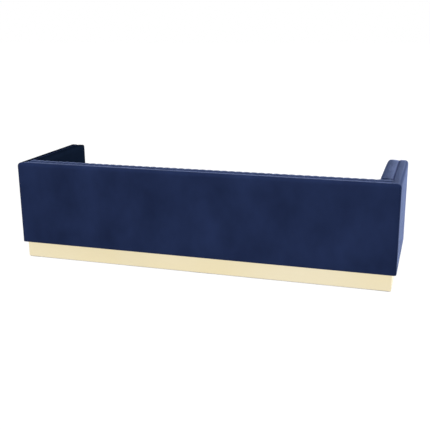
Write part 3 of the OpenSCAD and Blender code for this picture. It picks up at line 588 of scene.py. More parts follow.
def build_finishes(colours):
    """Builds the shader groups, and one material for each finish of the bench."""
    SHADER.update(two_tone=two_tone_group(), pile=pile_group(), nap=nap_group(), grain=grain_group())
    sheen = tuple(colours.velvet_sheen)
    FINISH.update(
        velvet=velvet(
            "navy_velvet", tuple(colours.velvet_dark), tuple(colours.velvet_light), sheen,
            sheen=0.52, lean=0.35),
        # A darker copy of the velvet without sheen: painted shade for the left arm's top and inner side
        velvet_against=velvet(
            "navy_velvet_against_pile", tuple(colours.painted_shade_dark), tuple(colours.painted_shade_light), sheen,
            sheen=0.0, lean=0.0),
        # Crushed velvet without sheen: partly crushed pile, partly painted shade in the seams' grooves and
        # under the hem
        velvet_seam=pressed_and_shaded_velvet(
            "navy_velvet_pressed", tuple(colours.pressed_shade_dark), tuple(colours.pressed_shade_light)),
        thread=woven(
            "navy_thread", (0.010, 0.018, 0.055, 1), (0.020, 0.032, 0.085, 1), threads=900.0, relief=0.0002),
        deck=woven(
            "deck_cloth_weave", (0.010, 0.016, 0.048, 1), (0.016, 0.026, 0.072, 1),
            threads=260.0, relief=0.0004),
        dust_cloth=woven(
            "black_felted_cloth", (0.010, 0.010, 0.011, 1), (0.020, 0.020, 0.022, 1),
            threads=420.0, relief=0.0003),
        webbing=woven(
            "elastic_webbing", (0.050, 0.042, 0.036, 1), (0.110, 0.095, 0.080, 1),
            threads=160.0, relief=0.0008),
        foam=foamed("cream_foam", (0.72, 0.62, 0.30, 1), (0.86, 0.78, 0.44, 1), cells=700.0),
        wadding=foamed("white_wadding", (0.74, 0.74, 0.72, 1), (0.88, 0.88, 0.86, 1), cells=240.0),
        timber=wood(
            "pine_timber", (0.46, 0.28, 0.13, 1), (0.72, 0.52, 0.30, 1),
            stretch=(0.25, 1.0, 1.0), scale=45.0),
        plywood=wood(
            "birch_plywood", (0.50, 0.34, 0.19, 1), (0.70, 0.54, 0.34, 1),
            stretch=(0.4, 1.0, 1.0), scale=30.0),
        gold_sheet=brushed_metal(
            "pale_gold_sheet", tuple(colours.plinth_gold), rough=0.34, stretch=(0.02, 0.02, 1.0),
            streak=520.0, relief=0.00006),
        zip_brass=brushed_metal(
            "zip_brass", tuple(colours.zip_brass), rough=0.32, stretch=(1.0, 0.2, 1.0),
            streak=900.0, relief=0.00004),
        zinc_steel=brushed_metal(
            "zinc_plated_steel", (0.60, 0.62, 0.64, 1), rough=0.36, stretch=(1, 1, 0.4),
            streak=700.0, relief=0.00005),
        foot_nylon=moulded("black_nylon", (0.012, 0.012, 0.014, 1), rough=0.5),
    )


# Mesh helpers

def mesh_piece(name, points, faces, recalc=True):
    """A mesh object at the origin from points and faces, with faces pointing outwards."""
    mesh = bpy.data.meshes.new(name)
    mesh.from_pydata([tuple(p) for p in points], [], faces)
    if recalc:
        shape = bmesh.new()
        shape.from_mesh(mesh)
        bmesh.ops.recalc_face_normals(shape, faces=shape.faces)
        shape.to_mesh(mesh)
        shape.free()
    mesh.polygons.foreach_set("use_smooth", [True] * len(mesh.polygons))
    obj = bpy.data.objects.new(name, mesh)
    bpy.context.scene.collection.objects.link(obj)
    return obj


def section(low, high, radii, spans, arcs):
    """Outline of a rounded rectangle as points and outward directions.

    It starts at the low corner and runs round by way of (high, low). Each side has a fixed number of
    spans and each corner a fixed number of steps, so that outlines of other sizes match point by point.
    """
    box = [(low[0], low[1]), (high[0], low[1]), (high[0], high[1]), (low[0], high[1])]
    points, outward = [], []
    for k in range(4):
        r, n = radii[k], arcs[k]
        centre = (box[k][0] + (r if k in (0, 3) else -r), box[k][1] + (r if k < 2 else -r))
        for step in range(n + 1):
            angle = math.radians(180 + 90 * k + 90 * step / n)
            way = (math.cos(angle), math.sin(angle))
            points.append((centre[0] + r * way[0], centre[1] + r * way[1]))
            outward.append(way)
        m = (k + 1) % 4
        next_r = radii[m]
        after = (box[m][0] + (next_r if m in (0, 3) else -next_r),
                 box[m][1] + (next_r if m < 2 else -next_r))
        angle = math.radians(180 + 90 * (k + 1))
        way = (math.cos(angle), math.sin(angle))
        start = points[-1]
        stop = (after[0] + next_r * way[0], after[1] + next_r * way[1])
        for step in range(1, spans[k]):
            share = step / spans[k]
            points.append((start[0] + (stop[0] - start[0]) * share, start[1] + (stop[1] - start[1]) * share))
            outward.append(way)
    return np.array(points), np.array(outward)


def loft(rings, caps=(True, True)):
    """Points and faces of a skin through equal closed rings, with plain ends where asked."""
    n = len(rings[0])
    points = np.vstack(rings)
    faces = []
    for k in range(len(rings) - 1):
        for i in range(n):
            j = (i + 1) % n
            faces.append((k * n + i, k * n + j, (k + 1) * n + j, (k + 1) * n + i))
    if caps[0]:
        faces.append(tuple(range(n)))
    if caps[1]:
        faces.append(tuple((len(rings) - 1) * n + i for i in reversed(range(n))))
    return points, faces


def drop_faces(obj, gone):
    """Deletes the faces whose centre gone() names, and loose points with them."""
    shape = bmesh.new()
    shape.from_mesh(obj.data)
    bmesh.ops.delete(shape, geom=[f for f in shape.faces if gone(f.calc_center_median(), f)], context="FACES")
    shape.to_mesh(obj.data)
    shape.free()


def plain_mesh(obj):
    """Replaces an object's mesh by its evaluated one and drops its modifiers."""
    graph = bpy.context.evaluated_depsgraph_get()
    graph.update()
    done = bpy.data.meshes.new_from_object(obj.evaluated_get(graph))
    obj.modifiers.clear()
    old = obj.data
    obj.data = done
    obj.data.name = obj.name
    if old.users == 0:
        bpy.data.meshes.remove(old)
    return obj


def paint(obj, finish):
    """Gives an object one finish."""
    obj.data.materials.clear()
    obj.data.materials.append(FINISH[finish])


def shade(obj, angle=math.radians(50)):
    """Smooth shading with sharp edges past an angle."""
    obj.data.polygons.foreach_set("use_smooth", [True] * len(obj.data.polygons))
    obj.data.set_sharp_from_angle(angle=angle)


def thicken(obj, thickness):
    """Gives a skin its thickness, inwards from its faces."""
    solid = obj.modifiers.new("thickness", "SOLIDIFY")
    solid.thickness = thickness
    solid.offset = -1
    solid.use_even_offset = False


def seat_on(obj, body, finish, replaced=()):
    """Gives a finished piece its material, slot, body and the nodes it stands for."""
    paint(obj, finish)
    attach(obj, body)
    if replaced:
        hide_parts(*replaced)
    return obj


# Geometry trees

def geometry_tree(name, inputs):
    """A geometry tree with its geometry sockets and named inputs."""
    tree = bpy.data.node_groups.new(name, "GeometryNodeTree")
    tree.is_modifier = True
    tree.interface.new_socket("Geometry", in_out="INPUT", socket_type="NodeSocketGeometry")
    kinds = {"f": "NodeSocketFloat", "m": "NodeSocketMaterial", "v": "NodeSocketVector"}
    for label, kind in inputs:
        tree.interface.new_socket(label, in_out="INPUT", socket_type=kinds[kind])
    tree.interface.new_socket("Geometry", in_out="OUTPUT", socket_type="NodeSocketGeometry")
    return tree, tree.nodes.new("NodeGroupInput"), tree.nodes.new("NodeGroupOutput")


def add_tree(obj, tree, values):
    """Puts a geometry tree on an object and sets its inputs by their sockets' identifiers."""
    modifier = obj.modifiers.new(tree.name, "NODES")
    modifier.node_group = tree
    for item in tree.interface.items_tree:
        if item.in_out == "INPUT" and item.name in values:
            modifier[item.identifier] = values[item.name]
    return modifier


def finish_tree(tree, start, end, geometry):
    """Ends a tree: its geometry made real and given the material that the tree is handed."""
    real = add_node(tree, "GeometryNodeRealizeInstances")
    colour = add_node(tree, "GeometryNodeSetMaterial")
    link(tree, geometry, real.inputs["Geometry"])
    link(tree, real.outputs["Geometry"], colour.inputs["Geometry"])
    link(tree, start.outputs["Material"], colour.inputs["Material"])
    link(tree, colour.outputs["Geometry"], end.inputs["Geometry"])


def math_node(tree, operation, first, second=None):
    """Result of a sum on values or outputs."""
    node = add_node(tree, "ShaderNodeMath", operation=operation)
    for k, value in enumerate((first, second)):
        if value is None:
            continue
        if isinstance(value, (int, float)):
            node.inputs[k].default_value = value
        else:
            link(tree, value, node.inputs[k])
    return node.outputs[0]


def soft_tree():
    """Slow uneven swell of stuffed cloth: points move along their normals by two scales of noise."""
    tree, start, end = geometry_tree(
        "soft_swell",
        [("Swell", "f"), ("Swell scale", "f"), ("Pucker", "f"), ("Pucker scale", "f"), ("Seed", "f"),
         ("Material", "m")])
    move = add_node(tree, "GeometryNodeSetPosition")
    normal = add_node(tree, "GeometryNodeInputNormal")
    total = None
    for size, scale in (("Swell", "Swell scale"), ("Pucker", "Pucker scale")):
        spots = add_node(tree, "ShaderNodeTexNoise", {"Detail": 2.0}, noise_dimensions="4D")
        link(tree, start.outputs["Seed"], spots.inputs["W"])
        link(tree, start.outputs[scale], spots.inputs["Scale"])
        part = math_node(tree, "MULTIPLY", math_node(tree, "SUBTRACT", spots.outputs["Fac"], 0.5),
                         start.outputs[size])
        total = part if total is None else math_node(tree, "ADD", total, part)
    keep = add_node(tree, "GeometryNodeInputNamedAttribute", data_type="FLOAT")
    keep.inputs["Name"].default_value = "softness"
    total = math_node(tree, "MULTIPLY", total, keep.outputs["Attribute"])
    offset = add_node(tree, "ShaderNodeVectorMath", operation="SCALE")
    link(tree, normal.outputs["Normal"], offset.inputs[0])
    link(tree, total, offset.inputs["Scale"])
    link(tree, start.outputs["Geometry"], move.inputs["Geometry"])
    link(tree, offset.outputs[0], move.inputs["Offset"])
    finish_tree(tree, start, end, move.outputs["Geometry"])
    return tree


def channel_tree():
    """Sewn channels: points draw in along their own outward direction, deepest at each seam."""
    tree, start, end = geometry_tree(
        "sewn_channels", [("Channel width", "f"), ("First seam", "f"), ("Depth", "f"), ("Fullness", "f"),
                           ("Material", "m")])
    move = add_node(tree, "GeometryNodeSetPosition")
    place = add_node(tree, "GeometryNodeInputPosition")
    split = add_node(tree, "ShaderNodeSeparateXYZ")
    link(tree, place.outputs["Position"], split.inputs[0])
    from_first = math_node(tree, "SUBTRACT", split.outputs["X"], start.outputs["First seam"])
    share = math_node(tree, "FRACT", math_node(tree, "DIVIDE", from_first, start.outputs["Channel width"]))
    across = math_node(tree, "SUBTRACT", math_node(tree, "MULTIPLY", share, 2.0), 1.0)
    bowl = math_node(tree, "POWER", math_node(tree, "ABSOLUTE", across), start.outputs["Fullness"])
    depth = math_node(tree, "MULTIPLY", math_node(tree, "MULTIPLY", bowl, start.outputs["Depth"]), -1.0)
    mask = add_node(tree, "GeometryNodeInputNamedAttribute", data_type="FLOAT")
    mask.inputs["Name"].default_value = "sewn"
    way = add_node(tree, "GeometryNodeInputNamedAttribute", data_type="FLOAT_VECTOR")
    way.inputs["Name"].default_value = "outward"
    offset = add_node(tree, "ShaderNodeVectorMath", operation="SCALE")
    link(tree, way.outputs["Attribute"], offset.inputs[0])
    link(tree, math_node(tree, "MULTIPLY", depth, mask.outputs["Attribute"]), offset.inputs["Scale"])
    link(tree, start.outputs["Geometry"], move.inputs["Geometry"])
    link(tree, offset.outputs[0], move.inputs["Offset"])
    finish_tree(tree, start, end, move.outputs["Geometry"])
    return tree


def spaced_points(tree, start):
    """Points at a tree's pitch along its path, and the rotation that turns X along the path."""
    curve = add_node(tree, "GeometryNodeMeshToCurve")
    spaced = add_node(tree, "GeometryNodeResampleCurve", mode="LENGTH")
    way = add_node(tree, "GeometryNodeInputTangent")
    turn = add_node(tree, "FunctionNodeAlignRotationToVector", axis="X")
    link(tree, start.outputs["Geometry"], curve.inputs["Mesh"])
    link(tree, curve.outputs["Curve"], spaced.inputs["Curve"])
    link(tree, start.outputs["Pitch"], spaced.inputs["Length"])
    link(tree, way.outputs["Tangent"], turn.inputs["Vector"])
    return spaced.outputs["Curve"], turn.outputs["Rotation"]


def stitch_tree():
    """Stitches along the edges of a path: low-sided grains of thread, sunk to half their thickness."""
    tree, start, end = geometry_tree(
        "stitch_row", [("Pitch", "f"), ("Length", "f"), ("Thread", "f"), ("Material", "m")])
    points, turn = spaced_points(tree, start)
    grain = add_node(tree, "GeometryNodeMeshUVSphere", {"Segments": 6, "Rings": 4, "Radius": 0.5})
    size = add_node(tree, "ShaderNodeCombineXYZ")
    put = add_node(tree, "GeometryNodeInstanceOnPoints")
    smooth = add_node(tree, "GeometryNodeSetShadeSmooth")
    link(tree, points, put.inputs["Points"])
    link(tree, turn, put.inputs["Rotation"])
    link(tree, grain.outputs["Mesh"], smooth.inputs["Geometry"])
    link(tree, smooth.outputs["Geometry"], put.inputs["Instance"])
    link(tree, start.outputs["Length"], size.inputs["X"])
    link(tree, start.outputs["Thread"], size.inputs["Y"])
    link(tree, start.outputs["Thread"], size.inputs["Z"])
    link(tree, size.outputs[0], put.inputs["Scale"])
    finish_tree(tree, start, end, put.outputs["Instances"])
    return tree


def tooth_tree():
    """Small blocks set along a path, on alternate sides of it, as zip teeth or staples."""
    tree, start, end = geometry_tree(
        "small_blocks", [("Pitch", "f"), ("Block", "v"), ("Side step", "f"), ("Material", "m")])
    points, turn = spaced_points(tree, start)
    block = add_node(tree, "GeometryNodeMeshCube")
    put = add_node(tree, "GeometryNodeInstanceOnPoints")
    number = add_node(tree, "GeometryNodeInputIndex")
    odd = math_node(tree, "MODULO", number.outputs["Index"], 2.0)
    side = math_node(tree, "SUBTRACT", math_node(tree, "MULTIPLY", odd, 2.0), 1.0)
    step = add_node(tree, "ShaderNodeCombineXYZ")
    shift = add_node(tree, "GeometryNodeSetPosition")
    link(tree, math_node(tree, "MULTIPLY", side, start.outputs["Side step"]), step.inputs["Z"])
    link(tree, points, shift.inputs["Geometry"])
    link(tree, step.outputs[0], shift.inputs["Offset"])
    link(tree, shift.outputs["Geometry"], put.inputs["Points"])
    link(tree, turn, put.inputs["Rotation"])
    link(tree, start.outputs["Block"], block.inputs["Size"])
    link(tree, block.outputs["Mesh"], put.inputs["Instance"])
    finish_tree(tree, start, end, put.outputs["Instances"])
    return tree


TREES = {}


def build_trees():
    """Builds the four geometry trees."""
    TREES.update(soft=soft_tree(), channels=channel_tree(), stitches=stitch_tree(), blocks=tooth_tree())


def line_piece(name, paths):
    """An object of bare edges along paths; a path whose ends meet is closed."""
    points, edges = [], []
    for path in paths:
        closed = np.allclose(path[0], path[-1])
        count = len(path) - 1 if closed else len(path)
        base = len(points)
        points += [tuple(p) for p in path[:count]]
        edges += [(base + i, base + i + 1) for i in range(count - 1)]
        if closed:
            edges.append((base + count - 1, base))
    mesh = bpy.data.meshes.new(name)
    mesh.from_pydata(points, edges, [])
    obj = bpy.data.objects.new(name, mesh)
    bpy.context.scene.collection.objects.link(obj)
    return obj


def stitch_rows(name, paths, sizes, body, finish="thread"):
    """Rows of stitches along paths, as one plain mesh on a body."""
    obj = line_piece(name, paths)
    add_tree(obj, TREES["stitches"], {
        "Pitch": sizes.pitch, "Length": sizes.length, "Thread": sizes.thread,
        "Material": FINISH[finish]})
    plain_mesh(obj)
    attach(obj, body)
    return obj


# For each kind of piece: the slow swell and the fine puckers, each with the scale of its noise
SOFT_FORMS = {
    "outer cover": {"Swell": 0.0022, "Swell scale": 3.2, "Pucker": 0.0006, "Pucker scale": 14.0},
    "back pad": {"Swell": 0.0016, "Swell scale": 9.0, "Pucker": 0.0011, "Pucker scale": 38.0},
    "arm pad": {"Swell": 0.0026, "Swell scale": 5.0, "Pucker": 0.0008, "Pucker scale": 30.0},
    "seat cushion": {"Swell": 0.0034, "Swell scale": 4.0, "Pucker": 0.0016, "Pucker scale": 26.0},
    "front rail": {"Swell": 0.0022, "Swell scale": 5.0, "Pucker": 0.0010, "Pucker scale": 20.0},
}


def soften(obj, form, seed, softness):
    """Adds the slow swell and fine puckers of its kind to a cloth piece, less where softness says so."""
    add_field(obj, "softness", softness, "FLOAT")
    add_tree(obj, TREES["soft"], {**SOFT_FORMS[form], "Seed": float(seed), "Material": FINISH["velvet"]})


def coordinates(obj):
    """Points of a mesh as rows of x, y and z."""
    co = np.empty(len(obj.data.vertices) * 3)
    obj.data.vertices.foreach_get("co", co)
    return co.reshape(-1, 3)


def set_coordinates(obj, co):
    """Moves the points of a mesh to the given rows."""
    obj.data.vertices.foreach_set("co", np.asarray(co, float).ravel())
    obj.data.update()


# Outer covers

WALL_SPANS = (2, 22, 3, 22)
WALL_ARCS = (2, 2, 4, 7)
SMALLEST_RADIUS = 0.0012
# Rings from the mitre to the plain wall: the angle of each, and its share of the seam's depth
SEAM_ANGLES = (45, 43.5, 41, 35, 27, 18, 9, 0)
SEAM_SINK_SHARES = (1.0, 0.35, 0.0, 0.0, 0.0, 0.0, 0.0, 0.0)
# Least distance from one of these rings to the next
CREEP = 0.0004
# Front end of an arm: steps round its edge, then how far in each ring lies and its share of the fullness
FRONT_STEPS = 6
FRONT_SWELL = ((0.12, 0.5), (0.28, 0.85), (0.46, 1.0))
WADDING_T = 0.006
WADDING_GAP = 0.0004
# Softness of a cover at its edges, where a flat middle has one
EDGE_SOFTNESS = 0.25
# How far the crushed pile beside a pad, whose velvet also paints shade, starts over the hem, and its width as
# a share of the seam's radius
SEAM_START = 0.1
SEAM_WIDTH_SHARE = 0.6
# Directions past which a face of the left arm counts as its top or its inner side, which take the darker
# velvet without sheen as painted shade
SHADED_TOP_FACING = 0.9
SHADED_INNER_FACING = -0.35


def wall_section(sizes, inset):
    """Section of a wall as (distance in from its outer face, height).

    The four values of inset draw in its outer face, inner face, lower edge and top.
    """
    outer, inner, low, top = inset
    plain = (
        sizes.hem_radius - max(outer, low), sizes.hem_radius - max(inner, low),
        sizes.seam_radius - max(inner, top), sizes.outer_radius - max(outer, top))
    radii = tuple(max(radius, SMALLEST_RADIUS) for radius in plain)
    low_corner = (outer, BACK_LOW[2] + low)
    high_corner = (WALL_T - inner, BACK_HIGH[2] - top)
    return section(low_corner, high_corner, radii, WALL_SPANS, WALL_ARCS)


def corner_ring(sizes, k, inset=0.0):
    """Ring of the rear left corner at one step from the mitre, with x and y measured from the corner."""
    sink = inset if inset else SEAM_SINK_SHARES[k] * sizes.seam_depth
    outline, _ = wall_section(sizes, (sink, sink, sink, sink))
    angle = math.radians(SEAM_ANGLES[k])
    r = sizes.corner_radius
    ring = []
    for d, z in outline:
        rho = max(r - d, 0.0)
        across = d if d >= r else r - rho * math.cos(angle)
        along = d if d >= r else r - rho * math.sin(angle)
        ring.append((across, along + k * CREEP, z))
    return np.array(ring)


def run_rings(sizes, stop, steps, inset=0.0):
    """Rings from the mitred corner along a wall to the distance stop from the corner.

    Each point is (distance in from the wall's outer face, distance from the corner, height).
    """
    rings = [corner_ring(sizes, k, inset) for k in range(len(SEAM_ANGLES))]
    last = rings[-1]
    for step in range(1, steps + 1):
        share = step / steps
        ring = last.copy()
        ring[:, 1] = last[:, 1] + (stop - last[:, 1]) * share
        rings.append(ring)
    return rings


def arm_rings(sizes, inset=0.0, steps=28):
    """Rings of an arm from the mitred rear corner to its round front end, all drawn in by inset."""
    f = sizes.front_radius - inset
    stop = 2 * HALF_DEPTH - sizes.front_radius
    rings = run_rings(sizes, stop, steps, inset)

    def front_ring(outer, inner, low, y):
        """Ring of the wall at a place along it, drawn in at its outer, inner and lower edges."""
        drawn = (inset + outer, inset + inner, inset + low, inset + outer)
        outline, _ = wall_section(sizes, drawn)
        return np.array([(d, y, z) for d, z in outline])

    for step in range(1, FRONT_STEPS + 1):
        angle = math.radians(90 * step / FRONT_STEPS)
        drawn = 1 - math.cos(angle)
        rings.append(front_ring(
            f * drawn, sizes.seam_radius * drawn, sizes.hem_radius * drawn, stop + f * math.sin(angle)))
    width = WALL_T - sizes.front_radius - sizes.seam_radius
    for share, bulge in FRONT_SWELL:
        e = share * width
        rings.append(front_ring(
            f + e, sizes.seam_radius + e, sizes.hem_radius + e, stop + f + sizes.fullness * bulge))
    return rings


def place_arm(points, sign):
    """Points of a wall put in place as the left or right arm."""
    return np.column_stack([sign * (HALF_LENGTH - points[:, 0]), HALF_DEPTH - points[:, 1], points[:, 2]])


def place_back(rings):
    """Rings of the whole back, from the left mitre to the right one."""
    left = [np.column_stack([HALF_LENGTH - r[:, 1], HALF_DEPTH - r[:, 0], r[:, 2]]) for r in rings]
    return left + [r * np.array([-1.0, 1.0, 1.0]) for r in reversed(left[:-1])]


def arm_cover(side, sizes):
    """Outer cover of an arm: from the mitred rear corner to its round front end."""
    sign = SIDES[side]
    points, faces = loft(arm_rings(sizes))
    obj = mesh_piece("arm_velvet_" + side, place_arm(points, sign), faces)
    window_y = (-HALF_DEPTH + sizes.turn_in, HALF_DEPTH - WALL_T - sizes.turn_in)
    window_z = (ARM_LOW[2] + sizes.turn_in, ARM_HIGH[2] - sizes.turn_in)
    inner_x = ARM_LOW[0] + sizes.seam_radius / 4

    def gone(centre, face):
        """Faces of the arm's hidden rear end, and of the window behind its pad."""
        inside = abs(centre.x) < inner_x and window_y[0] < centre.y < window_y[1]
        end = len(face.verts) > 4 and centre.y > 0
        return end or (inside and window_z[0] < centre.z < window_z[1])

    drop_faces(obj, gone)
    finish_cover(obj, sizes, (-HALF_DEPTH, HALF_DEPTH), 1, 11 + sign)
    nap_side(obj, (sign, 0.0, 0.0))
    seat_on(obj, "bench", "velvet", ["arm_cover_" + side])
    # Seam and hem faces take the crushed velvet, which also paints shade there
    mark_pile(obj, "velvet_seam", lambda c, n: in_wall_seam_or_hem_shade(abs(c.x) - ARM_LOW[0], c, sizes))
    # The left arm's top and inner side take the darker velvet without sheen: painted shade
    if sign > 0:
        mark_pile(obj, "velvet_against", lambda c, n: n.z > SHADED_TOP_FACING or n.x < SHADED_INNER_FACING)
    return obj


def in_wall_seam_or_hem_shade(inward, centre, sizes):
    """Whether a point lies where a wall's pile is crushed and its velvet paints shade: beside the pad, or at
    the lower hem.
    """
    beside_pad = inward < SEAM_WIDTH_SHARE * sizes.seam_radius and centre.z > BACK_LOW[2] + SEAM_START
    return beside_pad or centre.z < BACK_LOW[2] + sizes.hem_shade_band


def mark_pile(obj, finish, chosen):
    """Gives the faces that chosen() names another material of the same velvet, one that paints shade on them.
    """
    obj.data.materials.append(FINISH[finish])
    index = len(obj.data.materials) - 1
    for face in obj.data.polygons:
        if face.material_index == 0 and chosen(face.center, face.normal):
            face.material_index = index


def finish_cover(obj, sizes, run, axis, seed):
    """Fullness, soft swell and real thickness of an outer cover."""
    co = coordinates(obj)
    along = np.clip((co[:, axis] - run[0]) / (run[1] - run[0]), 0, 1)
    up = np.clip((co[:, 2] - BACK_LOW[2]) / (BACK_HIGH[2] - BACK_LOW[2]), 0, 1)
    full = (np.clip(4 * along * (1 - along), 0, 1) * np.clip(4 * up * (1 - up), 0, 1)) ** 0.4
    soften(obj, "outer cover", seed, EDGE_SOFTNESS + (1 - EDGE_SOFTNESS) * full)
    thicken(obj, sizes.cover)
    plain_mesh(obj)
    shade(obj)


def back_cover(sizes):
    """Outer cover of the back, mitred at both rear corners."""
    points, faces = loft(place_back(run_rings(sizes, HALF_LENGTH, 46)))
    obj = mesh_piece("back_velvet", points, faces)
    window_x = ARM_LOW[0] - sizes.turn_in
    window_z = (BACK_LOW[2] + sizes.turn_in, BACK_HIGH[2] - sizes.turn_in)
    inner_y = BACK_LOW[1] + sizes.seam_radius / 4

    def gone(centre, face):
        """Faces of the mitred ends, and of the window behind the back pad."""
        inside = centre.y < inner_y and abs(centre.x) < window_x
        return len(face.verts) > 4 or (inside and window_z[0] < centre.z < window_z[1])

    drop_faces(obj, gone)
    finish_cover(obj, sizes, (-HALF_LENGTH, HALF_LENGTH), 0, 3)
    nap_side(obj, (0.0, 0.0, 0.0))
    seat_on(obj, "bench", "velvet", ["back_cover"])
    # Seam and hem faces take the crushed velvet, which also paints shade there
    mark_pile(obj, "velvet_seam", lambda c, n: in_wall_seam_or_hem_shade(c.y - BACK_LOW[1], c, sizes))
    return obj


def wall_wadding(sizes):
    """Wadding under the outer covers: over the outer faces, the top and the arms' fronts."""
    inset = sizes.cover + sizes.seam_depth + WADDING_GAP
    points, faces = loft(place_back(run_rings(sizes, HALF_LENGTH, 23, inset)))
    skins = [(points, faces)]
    arm_points, arm_faces = loft(arm_rings(sizes, inset, 12))
    skins += [(place_arm(arm_points, sign), arm_faces) for sign in SIDES.values()]
    parts = []
    for k, (points, faces) in enumerate(skins):
        obj = mesh_piece("wadding_skin", points, faces)
        inner_y, inner_x = BACK_LOW[1] + 2 * inset, ARM_LOW[0] + 2 * inset
        low_z = BACK_LOW[2] + 2 * inset

        def gone(centre, face):
            """Faces that the cover's wadding doesn't have: inner, lower and mitred ones."""
            inner = centre.y < inner_y if k == 0 else abs(centre.x) < inner_x
            end = len(face.verts) > 4 and (k == 0 or centre.y > 0)
            return inner or end or centre.z < low_z

        drop_faces(obj, gone)
        parts.append(obj)
    for obj in parts[1:]:
        shape = bmesh.new()
        shape.from_mesh(parts[0].data)
        shape.from_mesh(obj.data)
        shape.to_mesh(parts[0].data)
        shape.free()
        bpy.data.objects.remove(obj)
    obj = parts[0]
    obj.name = "wall_fibre_wadding"
    thicken(obj, WADDING_T)
    plain_mesh(obj)
    shade(obj)
    return seat_on(obj, "bench", "wadding", ["wall_wadding"])


# Inner pads

PAD_SPANS = (3, 18, 4, 5)
PAD_ARCS = (2, 4, 9, 5)
LEAST_TOP_RADIUS = 0.004
WALL_FOOT_RADIUS = 0.0015
FOAM_EDGE = 0.002
FOAM_WALL_EDGE = 0.004
FOAM_SPANS = (1, 2, 1, 1)
FOAM_ARCS = (1, 1, 5, 2)
# Height of a pad's upper part, over which its crown builds up
CROWN_RISE = 0.06
# Crushed strip beside the wall, whose velvet also paints shade: its width as a share of the wall radius, and
# how far down it reaches
STRIP_WIDTH_SHARE = 1.2
STRIP_DROP = 0.04
# Behind an arm pad the back pad's top edge is squarer: by how much, from how far past it, over which length
BUTT_FLATTER = 0.018
BUTT_REACH = 0.004
BUTT_FADE = 0.012
CHANNEL_SHARES = (0.0, 0.03, 0.08, 0.16, 0.27, 0.4, 0.5, 0.6, 0.73, 0.84, 0.92, 0.97)


def pad_section(sizes, thick, height, drawn, lowered=0.0, flatter=0.0):
    """Section of a pad as (distance out from the wall, height), its face drawn in and its top lowered.

    With flatter above zero, the top edge is that much squarer.
    """
    top_radius = max(sizes.top_radius - drawn - flatter, LEAST_TOP_RADIUS)
    radii = (WALL_FOOT_RADIUS, sizes.hem_radius, top_radius, sizes.wall_radius)
    points, outward = section((0.0, 0.0), (thick - drawn, height - lowered), radii, PAD_SPANS, PAD_ARCS)
    on_top = np.clip((points[:, 1] - height + lowered + CROWN_RISE) / CROWN_RISE, 0, 1) ** 2
    points[:, 1] += sizes.top_crown * on_top * np.sin(math.pi * np.clip(points[:, 0] / thick, 0, 1))
    return points, outward


def sewn_mask(outward, top_share=1.0):
    """How far each point of a pad's section takes part in the channels: none at the wall and bottom."""
    face = np.clip(outward[:, 0] * 1.2, 0, 1)
    top = np.clip(outward[:, 1], 0, 1)
    return np.clip(face * (1 - top) + top * (top_share + (1 - top_share) * face), 0, 1)


def back_pad(sizes):
    """Back pad: a smooth body whose channels and seams are drawn in by the geometry tree."""
    length = BACK_PAD_LENGTH
    pitch = length / sizes.channels
    outline, outward = pad_section(sizes, BACK_PAD_T, BACK_PAD_HEIGHT, 0.0, sizes.back_settle)
    mask = sewn_mask(outward, sizes.top_share)
    places = [(k + share) * pitch for k in range(sizes.channels) for share in CHANNEL_SHARES] + [length]
    rings, ways, sewn = [], [], []
    for place in places:
        near_end = max(0.0, 1 - min(place, length - place) / pitch) ** 2
        settle = sizes.back_settle + (sizes.arm_settle - sizes.back_settle) * near_end
        behind_arm = min(1.0, max(0.0, (ARM_PAD_T + BUTT_REACH - min(place, length - place)) / BUTT_FADE))
        outline, _ = pad_section(sizes, BACK_PAD_T, BACK_PAD_HEIGHT, 0.0, settle, behind_arm * BUTT_FLATTER)
        ring = np.column_stack([
            np.full(len(outline), BACK_PAD_LOW[0] + place), BACK_PAD_HIGH[1] - outline[:, 0],
            BACK_PAD_LOW[2] + outline[:, 1]])
        rings.append(ring)
        ways.append(np.column_stack([np.zeros(len(outline)), -outward[:, 0], outward[:, 1]]))
        sewn.append(mask)
    points, faces = loft(rings)
    obj = mesh_piece("back_pad_velvet", points, faces)
    add_field(obj, "outward", np.vstack(ways), "FLOAT_VECTOR")
    add_field(obj, "sewn", np.concatenate(sewn), "FLOAT")
    add_tree(obj, TREES["channels"], {
        "Channel width": float(pitch), "First seam": float(BACK_PAD_LOW[0]),
        "Depth": sizes.channel_depth, "Fullness": 2.0, "Material": FINISH["velvet"]})
    soften(obj, "back pad", 5, np.concatenate(sewn))
    plain_mesh(obj)
    keep_inside(obj, BACK_PAD_LOW, BACK_PAD_HIGH + np.array([0, 0, sizes.top_crown]))
    nap_side(obj, (0.0, 0.0, 0.0))
    shade(obj, math.radians(60))
    seat_on(obj, "bench", "velvet", ["back_pad_cover"])
    # The strip beside the wall takes the crushed velvet, which also paints shade there
    mark_pile(obj, "velvet_seam",
              lambda c, n: in_pad_seam_shade(BACK_PAD_HIGH[1] - c.y, c.z - BACK_PAD_HIGH[2], sizes))
    return obj


def in_pad_seam_shade(out, above, sizes):
    """Whether a point lies in the crushed strip of a pad's top beside its wall, whose velvet also paints
    shade.
    """
    return out < STRIP_WIDTH_SHARE * sizes.wall_radius and above > -STRIP_DROP


def add_field(obj, name, values, kind):
    """Stores a value or vector for each point of a mesh."""
    field = obj.data.attributes.new(name, kind, "POINT")
    key = "vector" if kind == "FLOAT_VECTOR" else "value"
    field.data.foreach_set(key, np.asarray(values, float).ravel())


def nap_side(obj, out):
    """Says which way a piece's wall faces, so that its pile leans the right way."""
    add_field(obj, "wall_out", np.tile(out, (len(obj.data.vertices), 1)), "FLOAT_VECTOR")


def keep_inside(obj, low, high):
    """Keeps a piece's points inside a box."""
    co = coordinates(obj)
    set_coordinates(obj, np.clip(co, low, high))


